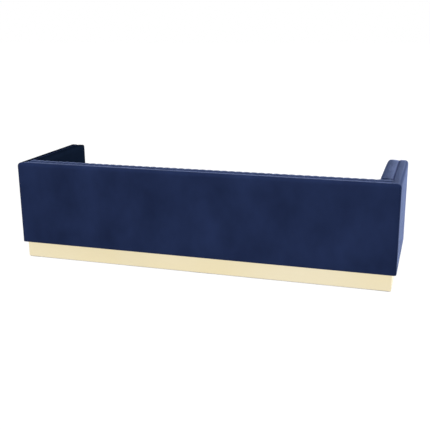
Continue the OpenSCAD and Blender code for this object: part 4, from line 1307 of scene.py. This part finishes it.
def back_pad_stitches(sizes, stitches):
    """One row of stitches down each seam of the back pad, over its top edge."""
    sink = sizes.channel_depth
    facing_out, facing_up = 0.2, 0.95
    outline, outward = pad_section(sizes, BACK_PAD_T, BACK_PAD_HEIGHT, 0.0, sizes.back_settle)
    line = [p - sink * w for p, w in zip(outline, outward) if w[0] > facing_out or w[1] > facing_up]
    line = [p for p in line if p[0] > sizes.wall_radius]
    paths = []
    for k in range(1, sizes.channels):
        x = BACK_PAD_LOW[0] + k * BACK_PAD_LENGTH / sizes.channels
        paths.append(np.array([(x, BACK_PAD_HIGH[1] - t, BACK_PAD_LOW[2] + w) for t, w in line]))
    return stitch_rows("back_pad_stitches", paths, stitches, "bench")


def foam_section(sizes, node, thick, height):
    """Section of a pad's foam: behind it the board, elsewhere the wrap and the channels' depth."""
    depth = sizes.foam_inset
    board = BACK_PAD_HIGH[1] - corners("back_pad_foam")[1][1]
    low_gap = corners(node)[0][2] - BACK_PAD_LOW[2]
    radii = (FOAM_EDGE, FOAM_EDGE, max(sizes.top_radius - depth, FOAM_EDGE), FOAM_WALL_EDGE)
    points, _ = section((board, low_gap), (thick - depth, height - depth), radii, FOAM_SPANS, FOAM_ARCS)
    return points


def place_foam(name, rings, node, body="bench"):
    """A foam block through rings, in place of its node."""
    points, faces = loft(rings)
    obj = mesh_piece(name, points, faces)
    shade(obj)
    return seat_on(obj, body, "foam", [node])


def back_foam(sizes):
    """Foam of the back pad, clear of the channels' seams."""
    low, high = corners("back_pad_foam")
    outline = foam_section(sizes, "back_pad_foam", BACK_PAD_T, BACK_PAD_HEIGHT - sizes.back_settle)
    rings = [np.array([(x, BACK_PAD_HIGH[1] - t, BACK_PAD_LOW[2] + w) for t, w in outline])
             for x in np.linspace(low[0], high[0], 9)]
    return place_foam("back_pad_foam_block", rings, "back_pad_foam")


# Rounded rear end of an arm pad: places along it, each with how far its face is drawn in
ARM_REAR_END = ((0.0, 0.004), (0.0025, 0.0012), (0.006, 0.0))
ARM_SPANS = 30
ARM_TURN_STEPS = 9


def arm_stations(sizes, inset=0.0):
    """Places along an arm pad, each with how far its face is drawn in and its top lowered."""
    length = ARM_PAD_LENGTH
    front = sizes.front_radius

    def crown(u):
        """How far the pad thins at a place, towards its front."""
        return sizes.crown * max(0.0, 2 * u / length - 1) ** 2

    stations = [] if inset else list(ARM_REAR_END)
    begin = inset if inset else ARM_REAR_END[-1][0]
    first = 0 if inset else 1
    straight = length - front - begin
    stations += [(begin + k * straight / ARM_SPANS, None) for k in range(first, ARM_SPANS + 1)]
    stations = [(u, crown(u) if d is None else d, sizes.arm_settle) for u, d in stations]
    for step in range(1, ARM_TURN_STEPS + 1):
        angle = math.radians(90 * step / ARM_TURN_STEPS)
        tip = math.sin(angle)
        u = length - front + (front - inset) * tip
        drawn = crown(length - front + front * tip) + (front - inset) * (1 - math.cos(angle))
        stations.append((u, drawn, sizes.arm_settle + sizes.front_drop * (1 - math.cos(angle))))
    return stations


def arm_pad_ring(outline, u, sign):
    """An outline put in place across an arm pad, at a distance from its rear end."""
    return np.column_stack([
        sign * (ARM_PAD_HIGH[0] - outline[:, 0]), np.full(len(outline), ARM_PAD_HIGH[1] - u),
        ARM_PAD_LOW[2] + outline[:, 1]])


def arm_foam(side, sizes):
    """Foam of an arm pad."""
    sign = SIDES[side]
    rings = []
    for u, drawn, lowered in arm_stations(sizes, sizes.foam_inset):
        outline = foam_section(sizes, "arm_pad_foam_" + side, ARM_PAD_T - drawn, ARM_PAD_HEIGHT - lowered)
        rings.append(arm_pad_ring(outline, u, sign))
    return place_foam("arm_pad_foam_block_" + side, rings, "arm_pad_foam_" + side)


def arm_pad(side, sizes):
    """Arm pad: crowned along its length, with a round front end."""
    sign = SIDES[side]
    rings, sewn = [], []
    for u, drawn, lowered in arm_stations(sizes):
        outline, outward = pad_section(sizes, ARM_PAD_T, ARM_PAD_HEIGHT, drawn, lowered)
        rings.append(arm_pad_ring(outline, u, sign))
        sewn.append(sewn_mask(outward))
    points, faces = loft(rings)
    obj = mesh_piece("arm_pad_velvet_" + side, points, faces)
    soften(obj, "arm pad", 20 + sign, np.concatenate(sewn))
    plain_mesh(obj)
    low, high = corners("arm_pad_cover_" + side)
    keep_inside(obj, low, high + np.array([0, 0, sizes.top_crown]))
    nap_side(obj, (sign, 0.0, 0.0))
    shade(obj, math.radians(60))
    seat_on(obj, "bench", "velvet", ["arm_pad_cover_" + side])
    # The strip beside the wall takes the crushed velvet, which also paints shade there
    mark_pile(obj, "velvet_seam",
              lambda c, n: in_pad_seam_shade(ARM_PAD_HIGH[0] - abs(c.x), c.z - ARM_PAD_HIGH[2], sizes))
    # The whole left arm pad takes the darker velvet without sheen: painted shade
    if sign > 0:
        mark_pile(obj, "velvet_against", lambda c, n: True)
    return obj


# Seat cushions

CUSHION_GRID = 0.014
# Distance from its seam over which a panel rises
PANEL_RISE = 0.022
# Stands for one in a comparison that rounding mustn't decide
NEARLY_ONE = 0.999
# Share of the border's swell along X and along Y at a round corner
CORNER_SWELL = 0.7
# Steps of the cloth simulation, and how far it may move a side at most
FILL_STEPS = 20
SIDE_CAP = 0.0035
# Rise that counts as the whole crown, as a percentile of the top's points, and the most over it
FULL_RISE_PERCENT = 99.5
MOST_RISE = 1.08
# Largest height between the ends of an edge that lies in one seam
SEAM_LEVEL = 0.02
SEAM_SOFTNESS = 0.1
# Row of stitches on the border: how far from its seam, and how far out
STITCH_DROP = 0.006
STITCH_OUT = 0.0004
# How far a cover may stand over its CAD solid
COVER_RISE = 0.002
FOAM_END = 0.012
FOAM_LIFT = 0.003


def grid_lines(half, radius, inner_step, edge_spans=4):
    """Grid lines across a cushion: close together in the corners, wider between them."""
    edge = [half - radius * k / edge_spans for k in range(edge_spans + 1)]
    inner = max(2, round(2 * (half - radius) / inner_step))
    middle = [-(half - radius) + 2 * (half - radius) * k / inner for k in range(1, inner)]
    return np.array([-e for e in edge] + middle + list(reversed(edge)))


def round_corner(x, y, hx, hy, r):
    """Moves a grid point into a plan with round corners."""
    a, b = (abs(x) - (hx - r)) / r, (abs(y) - (hy - r)) / r
    if a > 0 and b > 0:
        a, b = a * math.sqrt(1 - b * b / 2), b * math.sqrt(1 - a * a / 2)
        return math.copysign(hx - r + a * r, x), math.copysign(hy - r + b * r, y)
    return x, y


class Cushion:
    """Even-sided cushion mesh: top and bottom panels, a border between two seams, and its seam loops."""

    def __init__(self, sizes, step):
        low, high = corners("seat_cushion_cover_middle")
        self.hx = (high[0] - low[0]) / 2
        self.hy = (high[1] - low[1]) / 2
        self.sizes = sizes
        r = sizes.corner_radius
        xs = grid_lines(self.hx, r, step)
        ys = grid_lines(self.hy, r, step)
        self.nx, self.ny = len(xs), len(ys)
        self.plan = np.array([[round_corner(x, y, self.hx, self.hy, r) for y in ys] for x in xs])
        self.rim = ([(i, 0) for i in range(self.nx)] + [(self.nx - 1, j) for j in range(1, self.ny)]
                    + [(i, self.ny - 1) for i in range(self.nx - 2, -1, -1)]
                    + [(0, j) for j in range(self.ny - 2, 0, -1)])
        self.build(step)

    def drawn(self, x, y, full):
        """A rim point drawn in between the corners, and out again by full."""
        r = self.sizes.corner_radius
        pull = self.sizes.pull
        if abs(x) > self.hx - r * NEARLY_ONE:
            x -= math.copysign((pull - full) * max(0.0, 1 - (y / (self.hy - r)) ** 2), x)
        if abs(y) > self.hy - r * NEARLY_ONE:
            y -= math.copysign((pull - full) * max(0.0, 1 - (x / (self.hx - r)) ** 2), y)
        return x, y

    def build(self, step):
        """Makes the points and faces: two panels, then the border between their rims."""
        s = self.sizes
        points, faces = [], []

        def panel(z_edge, way):
            """Adds a panel that rises from its edge, up or down, and gives its first point."""
            first = len(points)
            for i in range(self.nx):
                for j in range(self.ny):
                    x, y = self.plan[i, j]
                    fx, fy = abs(x) / self.hx, abs(y) / self.hy
                    rim_pull = self.drawn(math.copysign(self.hx, x) if x else 0.0, y, 0.0)[0]
                    rim_pull_y = self.drawn(x, math.copysign(self.hy, y) if y else 0.0, 0.0)[1]
                    gx = (self.hx - abs(rim_pull)) * fx ** 3 if x else 0.0
                    gy = (self.hy - abs(rim_pull_y)) * fy ** 3 if y else 0.0
                    px = math.copysign(abs(x) - gx, x) if x else 0.0
                    py = math.copysign(abs(y) - gy, y) if y else 0.0
                    near = min(self.hx - abs(x), self.hy - abs(y))
                    rise = s.seam_lift * min(1.0, max(0.0, near / PANEL_RISE)) ** 0.6
                    points.append((px, py, z_edge + way * rise))
            for i in range(self.nx - 1):
                for j in range(self.ny - 1):
                    a = first + i * self.ny + j
                    quad = (a, a + self.ny, a + self.ny + 1, a + 1)
                    faces.append(quad if way > 0 else tuple(reversed(quad)))
            return first

        top = panel(s.seam_lift + s.border, 1)
        bottom = panel(s.seam_lift, -1)
        rows = max(6, round(s.border / step))
        rim_top = [top + i * self.ny + j for i, j in self.rim]
        rim_bottom = [bottom + i * self.ny + j for i, j in self.rim]
        levels = [rim_bottom]
        n = len(self.rim)
        for k in range(1, rows):
            share = k / rows
            base = len(points)
            for m in range(n):
                lowp, highp = points[rim_bottom[m]], points[rim_top[m]]
                x, y = self.plan[self.rim[m][0], self.rim[m][1]]
                swell = s.swell * math.sin(math.pi * share)
                px, py = lowp[0], lowp[1]
                nx = 1.0 if abs(x) > self.hx * NEARLY_ONE else 0.0
                ny = 1.0 if abs(y) > self.hy * NEARLY_ONE else 0.0
                if not nx and not ny:
                    nx = ny = CORNER_SWELL
                fade = max(0.0, 1 - (y / self.hy) ** 2) if nx == 1.0 else max(0.0, 1 - (x / self.hx) ** 2)
                px += math.copysign(nx * swell * fade, px)
                py += math.copysign(ny * swell * fade, py)
                points.append((px, py, lowp[2] + (highp[2] - lowp[2]) * share))
            levels.append([base + m for m in range(n)])
        levels.append(rim_top)
        for k in range(rows):
            for m in range(n):
                q = (m + 1) % n
                faces.append((levels[k][m], levels[k][q], levels[k + 1][q], levels[k + 1][m]))
        self.points = np.array(points)
        self.faces = faces
        self.rim_top, self.rim_bottom = rim_top, rim_bottom
        self.top_range = (top, bottom)
        self.bottom_range = (bottom, bottom + self.nx * self.ny)


def filled_cushion(cushion, sizes):
    """How far each point moves when a cushion's cover, held at its seams, is filled by cloth simulation."""
    obj = mesh_piece("cushion_fill", cushion.points, cushion.faces)
    rest = coordinates(obj)
    pinned = obj.vertex_groups.new(name="seams")
    pinned.add([int(i) for i in cushion.rim_top + cushion.rim_bottom], 1.0, "REPLACE")
    cloth = obj.modifiers.new("fill", "CLOTH")
    settings = cloth.settings
    settings.quality = 6
    settings.mass = 0.3
    settings.tension_stiffness = 25
    settings.compression_stiffness = 8
    settings.shear_stiffness = 6
    settings.bending_stiffness = 0.4
    settings.vertex_group_mass = "seams"
    settings.use_pressure = True
    settings.uniform_pressure_force = sizes.pressure
    settings.effector_weights.gravity = 0.0
    cloth.collision_settings.use_collision = False
    cloth.point_cache.frame_start = 1
    cloth.point_cache.frame_end = FILL_STEPS
    scene = bpy.context.scene
    for step in range(1, FILL_STEPS + 1):
        scene.frame_set(step)
    plain_mesh(obj)
    scene.frame_set(1)
    moved = coordinates(obj) - rest
    bpy.data.objects.remove(obj)
    return moved


def shaped_cushion(cushion, sizes):
    """Final points of a cushion's coarse mesh: crowned, swollen and flat below."""
    rest = cushion.points
    moved = filled_cushion(cushion, sizes)
    a, b = cushion.top_range
    peak = np.percentile(moved[a:b, 2], FULL_RISE_PERCENT)
    wave = np.clip(np.abs(moved[:, 2]) / max(peak, 1e-6), 0, MOST_RISE)
    sides = moved.copy()
    sides[:, 2] = 0
    reach = np.linalg.norm(sides, axis=1)
    sides *= (SIDE_CAP * np.tanh(reach / SIDE_CAP) / np.maximum(reach, 1e-9))[:, None]
    points = rest + sides
    a, b = cushion.top_range
    points[a:b, 2] += sizes.crown * wave[a:b]
    a, b = cushion.bottom_range
    points[a:b, 2] = np.maximum(points[a:b, 2], 0.0)
    return points


def seat_cushion(place, index, cushion, points, stitches):
    """One seat cushion's cover, with its two sewn seams and their stitches."""
    low, high = corners("seat_cushion_cover_" + place)
    centre = np.array([(low[0] + high[0]) / 2, (low[1] + high[1]) / 2, low[2]])
    turned = points.copy()
    if index == 1:
        turned[:, 0] *= -1
    obj = mesh_piece("seat_cushion_velvet_" + place, turned + centre, cushion.faces)
    loops = set(map(int, cushion.rim_top + cushion.rim_bottom))
    hardness = obj.data.attributes.new("crease_edge", "FLOAT", "EDGE")
    marks = []
    for edge in obj.data.edges:
        first, second = edge.vertices
        height = abs(obj.data.vertices[first].co.z - obj.data.vertices[second].co.z)
        marks.append(1.0 if first in loops and second in loops and height < SEAM_LEVEL else 0.0)
    hardness.data.foreach_set("value", marks)
    softness = np.ones(len(turned))
    softness[list(loops)] = SEAM_SOFTNESS
    soften(obj, "seat cushion", 40 + 7 * index, softness)
    smooth = obj.modifiers.new("smooth", "SUBSURF")
    smooth.levels = smooth.render_levels = 1
    plain_mesh(obj)
    keep_inside(obj, low, high + np.array([0, 0, COVER_RISE]))
    shade(obj, math.radians(65))
    body = "cushion_" + place
    seat_on(obj, body, "velvet", ["seat_cushion_cover_" + place])
    for label, rim, way in (("top", cushion.rim_top, 1), ("low", cushion.rim_bottom, -1)):
        ring = turned[rim] + centre
        out = ring - centre
        out[:, 2] = 0
        out /= np.maximum(np.linalg.norm(out, axis=1), 1e-6)[:, None]
        line = ring + np.array([0, 0, -way * STITCH_DROP]) + out * STITCH_OUT
        stitch_rows(f"seat_cushion_stitches_{place}_{label}", [np.vstack([line, line[:1]])], stitches, body)
    return obj


def cushion_foam(place, sizes):
    """Foam core of a seat cushion, with its edges eased."""
    low, high = corners("seat_cushion_core_" + place)
    ease = sizes.pull
    ends = [(share * FOAM_END, drawn * FOAM_END) for share, drawn in ((0.0, 1.0), (0.3, 0.3), (1.0, 0.0))]
    places = [(low[0] + ease + along, drawn) for along, drawn in ends]
    places += [(high[0] - ease - along, drawn) for along, drawn in reversed(ends)]
    rings = []
    for x, drawn in places:
        outline, _ = section(
            (low[1] + ease + drawn, low[2] + FOAM_LIFT + drawn),
            (high[1] - ease - drawn, high[2] - ease - drawn),
            (FOAM_END,) * 4, (2,) * 4, (3,) * 4)
        rings.append(np.array([(x, y, z) for y, z in outline]))
    return place_foam(
        "seat_cushion_foam_block_" + place, rings, "seat_cushion_core_" + place, "cushion_" + place)


# Seat base

RAIL_FULLNESS = 0.001
SHEET_GRID = 0.03
STAPLE_INSET = 0.012
STAPLE_SINK = 0.0003
STAPLE_PITCH = 0.06
STAPLE_BLOCK = (0.010, 0.0009, 0.0006)


def front_rail(sizes):
    """Velvet over the front rail: rolled over the top, turned under below."""
    roll, hem, tip = 0.018, 0.005, 0.0015
    spans, arcs = (3, 12, 3, 2), (3, 1, 1, 8)
    end, near_end, steps = 0.005, 0.002, 90
    half = RAIL_HIGH[0]
    rings = []
    places = [(-half, 1.0), (-half + near_end, 0.3), (-half + end, 0.0)]
    places += [(-half + end + 2 * (half - end) * k / steps, 0.0) for k in range(1, steps)]
    places += [(half - end, 0.0), (half - near_end, 0.3), (half, 1.0)]
    for x, sink in places:
        e = sink * tip
        outline, _ = section(
            (RAIL_LOW[1] + e, RAIL_LOW[2] + e), (RAIL_HIGH[1], RAIL_HIGH[2] - e), (hem, tip, tip, roll),
            spans, arcs)
        rings.append(np.array([(x, y, z) for y, z in outline]))
    points, faces = loft(rings)
    obj = mesh_piece("front_rail_velvet", points, faces)
    drop_faces(obj, lambda centre, face: len(face.verts) > 4 or centre.y > RAIL_HIGH[1] - tip)
    co = coordinates(obj)
    up = np.clip((co[:, 2] - RAIL_LOW[2]) / (RAIL_HIGH[2] - RAIL_LOW[2]), 0, 1)
    soften(obj, "front rail", 9, 0.2 + 0.8 * np.clip(4 * up * (1 - up), 0, 1))
    thicken(obj, sizes.cover)
    plain_mesh(obj)
    keep_inside(obj, RAIL_LOW - RAIL_FULLNESS, RAIL_HIGH)
    shade(obj)
    return seat_on(obj, "bench", "velvet", ["front_rail_cover"])


def flat_sheet(name, low, high, z, sag, thickness, seed):
    """A closed thin sheet over a rectangle, with slow waves of a given depth below z."""
    nx = max(2, round((high[0] - low[0]) / SHEET_GRID)) + 1
    ny = max(2, round((high[1] - low[1]) / SHEET_GRID)) + 1
    points, faces = [], []
    for i in range(nx):
        for j in range(ny):
            x = low[0] + (high[0] - low[0]) * i / (nx - 1)
            y = low[1] + (high[1] - low[1]) * j / (ny - 1)
            wave = 0.5 + 0.5 * noise.noise(Vector((x * 3.0, y * 3.0, seed)))
            edge = min(i, nx - 1 - i, j, ny - 1 - j) / 2
            points.append((x, y, z - sag * wave * min(1.0, edge)))
    for i in range(nx - 1):
        for j in range(ny - 1):
            a = i * ny + j
            faces.append((a, a + ny, a + ny + 1, a + 1))
    obj = mesh_piece(name, points, faces, recalc=False)
    thicken(obj, thickness)
    plain_mesh(obj)
    shade(obj)
    return obj


def deck_cloth():
    """Cloth over the seat's foam, under the cushions."""
    obj = flat_sheet(
        "seat_deck_cloth", DECK_LOW, DECK_HIGH, DECK_HIGH[2], sag=0.0006, thickness=0.0012, seed=3.0)
    seat_on(obj, "bench", "deck", ["deck_cloth"])
    return obj


def dust_cover():
    """Thin cloth under the seat frame."""
    sag, thickness, rest = 0.0004, 0.0008, 0.0002
    level = DUST_LOW[2] + sag + thickness + rest
    obj = flat_sheet("under_dust_cloth", DUST_LOW, DUST_HIGH, level, sag, thickness, seed=7.0)
    seat_on(obj, "bench", "dust_cloth", ["dust_cover"])
    return obj


def dust_staples():
    """Staples that hold the dust cover, in one row round its edge."""
    z = DUST_LOW[2] + STAPLE_SINK
    x, y0, y1 = DUST_HIGH[0] - STAPLE_INSET, DUST_LOW[1] + STAPLE_INSET, DUST_HIGH[1] - STAPLE_INSET
    loop = np.array([(-x, y0, z), (x, y0, z), (x, y1, z), (-x, y1, z), (-x, y0, z)])
    obj = line_piece("dust_cover_staples", [loop])
    add_tree(obj, TREES["blocks"], {
        "Pitch": STAPLE_PITCH, "Block": STAPLE_BLOCK, "Side step": 0.0, "Material": FINISH["zinc_steel"]})
    plain_mesh(obj)
    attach(obj, "bench")
    return obj


# Zips, with depths measured out from the cushion's surface. A slider and tab stay in the gap to the back pad.

ZIP_POINTS = 80
ZIP_TAPE = (-0.0014, 0.0005, 0.0075)
ZIP_END_POINTS = 2
ZIP_LIFT = 0.0006
ZIP_PITCH = 0.0026
ZIP_BLOCK = (0.0013, 0.0018, 0.0024)
ZIP_SIDE_STEP = 0.0009
SLIDER_POINT = 3
SLIDER_BACK = 0.0002
# Along the slider: place, depth of its face, half its height
SLIDER = ((-0.007, 0.0012, 0.0024), (-0.005, 0.0016, 0.0044), (0.001, 0.0018, 0.0046),
          (0.005, 0.0016, 0.0034), (0.007, 0.0012, 0.0022))
TAB_BACK, TAB_FRONT = 0.0010, 0.0019
# Along the tab: place, half its height
TAB = ((0.004, 0.0014), (0.006, 0.0022), (0.022, 0.0026), (0.026, 0.0026), (0.028, 0.0016))
# Points of the cover that a zip follows: so near its height, and so far in from the rear of its node
ZIP_BAND = 0.006
ZIP_REACH = 0.02


def bar_piece(name, path, sections):
    """A closed bar through rectangles (y back, y front, z half) set on the points of a path along X."""
    rings = []
    for (x, y, z), (back, front, half) in zip(path, sections):
        rings.append(np.array([
            (x, y + back, z - half), (x, y + front, z - half),
            (x, y + front, z + half), (x, y + back, z + half)]))
    points, faces = loft(rings)
    return mesh_piece(name, points, faces)


def zip_path(node, cover):
    """Points along a zip, on the rear border of its cushion's cover."""
    low, high = corners(node)
    z = (low[2] + high[2]) / 2
    co = coordinates(cover)
    rear = co[(np.abs(co[:, 2] - z) < ZIP_BAND) & (co[:, 1] > high[1] - ZIP_REACH)]
    rear = rear[np.argsort(rear[:, 0])]
    xs = np.linspace(low[0], high[0], ZIP_POINTS)
    return np.column_stack([xs, np.interp(xs, rear[:, 0], rear[:, 1]), np.full(len(xs), z)])


def cushion_zip(place, cover):
    """Brass zip on a cushion's rear border: a tape, staggered teeth and a slider with its tab."""
    node = "seat_cushion_zip_" + place
    body = "cushion_" + place
    path = zip_path(node, cover)
    tape = bar_piece("seat_cushion_zip_tape_" + place, path, [ZIP_TAPE] * len(path))
    seat_on(tape, body, "thread")
    line = path[ZIP_END_POINTS:-ZIP_END_POINTS] + np.array([0, ZIP_LIFT, 0])
    teeth = line_piece("seat_cushion_zip_teeth_" + place, [line])
    add_tree(teeth, TREES["blocks"], {
        "Pitch": ZIP_PITCH, "Block": ZIP_BLOCK, "Side step": ZIP_SIDE_STEP, "Material": FINISH["zip_brass"]})
    plain_mesh(teeth)
    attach(teeth, body)
    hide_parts(node)
    start = path[SLIDER_POINT]
    slider = bar_piece(
        "seat_cushion_zip_slider_" + place, [start + np.array([along, 0, 0]) for along, _, _ in SLIDER],
        [(SLIDER_BACK, front, half) for _, front, half in SLIDER])
    seat_on(slider, body, "zip_brass")
    tab = bar_piece(
        "seat_cushion_zip_tab_" + place, [start + np.array([along, 0, 0]) for along, _ in TAB],
        [(TAB_BACK, TAB_FRONT, half) for _, half in TAB])
    seat_on(tab, body, "zip_brass")


# Frame finishes

def finish_frame():
    """Gives every frame node the finish of its slot."""
    for row in frame["record"]["subparts"]:
        node = frame["nodes"][row["node"]]
        finish = FINISH[row["material_slot"]]
        if not node.data.materials:
            node.data.materials.append(finish)
        for place in node.material_slots:
            place.material = finish


# Stage

FLOOR_REACH = 40.0
# Each lamp: its place, what it is aimed at, its size
LAMPS = {
    "key": ((1.2, 6.5, 4.2), (0, 0.2, 0.4), (3.5, 2.2)),
    "top": ((0.0, 1.4, 4.5), (0, 0.1, 0.5), (5.0, 2.5)),
    "front": ((-2.6, -5.5, 3.0), (0, 0, 0.4), (3.0, 1.8)),
    "side": ((-4.3, -3.4, 1.65), (-1.2, 0, 0.5), (2.6, 1.2)),
}


def seen_white(tree):
    """One where the camera, a mirror image or a view through glass looks at the surroundings."""
    path = add_node(tree, "ShaderNodeLightPath")
    seen = math_node(tree, "MAXIMUM", path.outputs["Is Camera Ray"], path.outputs["Is Glossy Ray"])
    return math_node(tree, "MAXIMUM", seen, path.outputs["Is Transmission Ray"])


def stage_floor():
    """Pale floor that keeps the object's shadow under an even white."""
    material, shader = new_material("pale_floor")
    tree = material.node_tree
    set_values(shader, {"Base Color": (0.86, 0.86, 0.86, 1), "Roughness": 0.9, "Specular IOR Level": 0.1})
    white = add_node(tree, "ShaderNodeEmission", {"Color": (1, 1, 1, 1), "Strength": 1.05})
    near = add_node(tree, "ShaderNodeAmbientOcclusion", {"Distance": 0.12}, samples=8, only_local=False)
    open_floor = ramp_of(tree, near.outputs["AO"], 0.0, 0.5, to_low=0.0, to_high=0.97)
    share = math_node(tree, "MULTIPLY", seen_white(tree), open_floor)
    mix = add_node(tree, "ShaderNodeMixShader")
    out = tree.nodes["Material Output"]
    link(tree, share, mix.inputs[0])
    link(tree, shader.outputs[0], mix.inputs[1])
    link(tree, white.outputs[0], mix.inputs[2])
    link(tree, mix.outputs[0], out.inputs["Surface"])
    reach = FLOOR_REACH
    points = [(-reach, -reach, 0), (reach, -reach, 0), (reach, reach, 0), (-reach, reach, 0)]
    floor = mesh_piece("floor", points, [(0, 1, 2, 3)], recalc=False)
    floor.data.materials.append(material)


def stage_world(sky):
    """Even light of the given strength, under a background seen as white."""
    world = bpy.data.worlds.new("studio")
    bpy.context.scene.world = world
    world.use_nodes = True
    tree = world.node_tree
    light = tree.nodes["Background"]
    set_values(light, {"Color": (1, 1, 1, 1)})
    link(tree, ramp_of(tree, seen_white(tree), 0.0, 1.0, to_low=sky, to_high=1.0), light.inputs["Strength"])


def lamp(name, place, aim, size, power):
    """Flat lamp aimed at a point."""
    light = bpy.data.lights.new(name, "AREA")
    light.shape = "RECTANGLE"
    light.size, light.size_y = size
    light.energy = power
    obj = bpy.data.objects.new(name, light)
    bpy.context.scene.collection.objects.link(obj)
    obj.location = place
    obj.rotation_euler = (Vector(aim) - Vector(place)).to_track_quat("-Z", "Y").to_euler()


def stage_camera(stage):
    """Camera at the photograph's view of the rear."""
    yaw, pitch, roll = stage.yaw, stage.pitch, stage.roll
    ahead = Vector((math.sin(yaw) * math.cos(pitch), -math.cos(yaw) * math.cos(pitch), -math.sin(pitch)))
    right = Vector((-math.cos(yaw), -math.sin(yaw), 0.0))
    up = right.cross(ahead)
    turned_right = math.cos(roll) * right + math.sin(roll) * up
    turned_up = math.cos(roll) * up - math.sin(roll) * right
    data = bpy.data.cameras.new("photo_view")
    data.lens = stage.lens
    data.sensor_width = 36.0
    data.clip_end = 200.0
    camera = bpy.data.objects.new("photo_view", data)
    bpy.context.scene.collection.objects.link(camera)
    turn = Matrix((turned_right, turned_up, -ahead)).transposed().to_4x4()
    camera.matrix_world = Matrix.Translation(Vector(stage.place)) @ turn
    bpy.context.scene.camera = camera


# Operators

def prepare(scene):
    """Builds the finishes and trees once, for the operator that needs them first."""
    if not FINISH:
        build_finishes(scene.bench_colours)
        build_trees()


class BENCH_OT_outer_covers(bpy.types.Operator):
    """Makes the outer velvet covers of the back and arms, and the wadding under them"""
    bl_idname = "bench.outer_covers"
    bl_label = "Outer covers"

    def execute(self, context):
        prepare(context.scene)
        sizes = context.scene.bench_shell
        back_cover(sizes)
        for side in SIDES:
            arm_cover(side, sizes)
        wall_wadding(sizes)
        return {"FINISHED"}


class BENCH_OT_inner_pads(bpy.types.Operator):
    """Makes the channelled back pad and the two arm pads, with their foam"""
    bl_idname = "bench.inner_pads"
    bl_label = "Inner pads"

    def execute(self, context):
        prepare(context.scene)
        sizes = context.scene.bench_pads
        back_foam(sizes)
        back_pad(sizes)
        back_pad_stitches(sizes, context.scene.bench_stitches)
        for side in SIDES:
            arm_foam(side, sizes)
            arm_pad(side, sizes)
        return {"FINISHED"}


class BENCH_OT_seat_cushions(bpy.types.Operator):
    """Makes the three loose seat cushions with their foam, seams and zips"""
    bl_idname = "bench.seat_cushions"
    bl_label = "Seat cushions"

    def execute(self, context):
        prepare(context.scene)
        sizes = context.scene.bench_cushions
        cushion = Cushion(sizes, CUSHION_GRID)
        points = shaped_cushion(cushion, sizes)
        for index, place in enumerate(PLACES):
            cover = seat_cushion(place, index, cushion, points, context.scene.bench_stitches)
            cushion_foam(place, sizes)
            cushion_zip(place, cover)
        return {"FINISHED"}


class BENCH_OT_seat_base(bpy.types.Operator):
    """Makes the front rail's cover, the deck cloth, and the dust cover with its staples"""
    bl_idname = "bench.seat_base"
    bl_label = "Seat base"

    def execute(self, context):
        prepare(context.scene)
        front_rail(context.scene.bench_shell)
        deck_cloth()
        dust_cover()
        dust_staples()
        return {"FINISHED"}


class BENCH_OT_frame_finishes(bpy.types.Operator):
    """Gives the frame's timber, foam, metal and plastic their finishes"""
    bl_idname = "bench.frame_finishes"
    bl_label = "Frame finishes"

    def execute(self, context):
        prepare(context.scene)
        finish_frame()
        return {"FINISHED"}


class BENCH_OT_stage(bpy.types.Operator):
    """Sets the camera, lamps, sky and floor"""
    bl_idname = "bench.stage"
    bl_label = "Stage"

    def execute(self, context):
        stage = context.scene.bench_stage
        context.scene.view_settings.view_transform = "Standard"
        stage_camera(stage)
        stage_floor()
        stage_world(stage.sky)
        for name, (place, aim, size) in LAMPS.items():
            lamp(name + "_lamp", place, aim, size, getattr(stage, name))
        return {"FINISHED"}


class BENCH_PT_panel(bpy.types.Panel):
    """Lists the bench's pieces and its stage"""
    bl_idname = "BENCH_PT_panel"
    bl_label = "Banquette bench"
    bl_space_type = "VIEW_3D"
    bl_region_type = "UI"
    bl_category = "Banquette"

    def draw(self, context):
        for operator in OPERATORS:
            self.layout.operator(operator.bl_idname)


OPERATORS = (
    BENCH_OT_stage,
    BENCH_OT_frame_finishes,
    BENCH_OT_outer_covers,
    BENCH_OT_inner_pads,
    BENCH_OT_seat_base,
    BENCH_OT_seat_cushions,
)


def register():
    """Registers the properties, the operators and the panel."""
    for name, group in GROUPS.items():
        bpy.utils.register_class(group)
        setattr(bpy.types.Scene, name, bpy.props.PointerProperty(type=group))
    for operator in OPERATORS:
        bpy.utils.register_class(operator)
    bpy.utils.register_class(BENCH_PT_panel)


def unregister():
    """Takes the panel, the operators and the properties away again."""
    bpy.utils.unregister_class(BENCH_PT_panel)
    for operator in reversed(OPERATORS):
        bpy.utils.unregister_class(operator)
    for name, group in GROUPS.items():
        delattr(bpy.types.Scene, name)
        bpy.utils.unregister_class(group)


def main():
    """Makes the whole bench and its stage."""
    register()
    bpy.ops.bench.stage()
    bpy.ops.bench.frame_finishes()
    bpy.ops.bench.outer_covers()
    bpy.ops.bench.inner_pads()
    bpy.ops.bench.seat_base()
    bpy.ops.bench.seat_cushions()


if __name__ == "__main__":
    main()
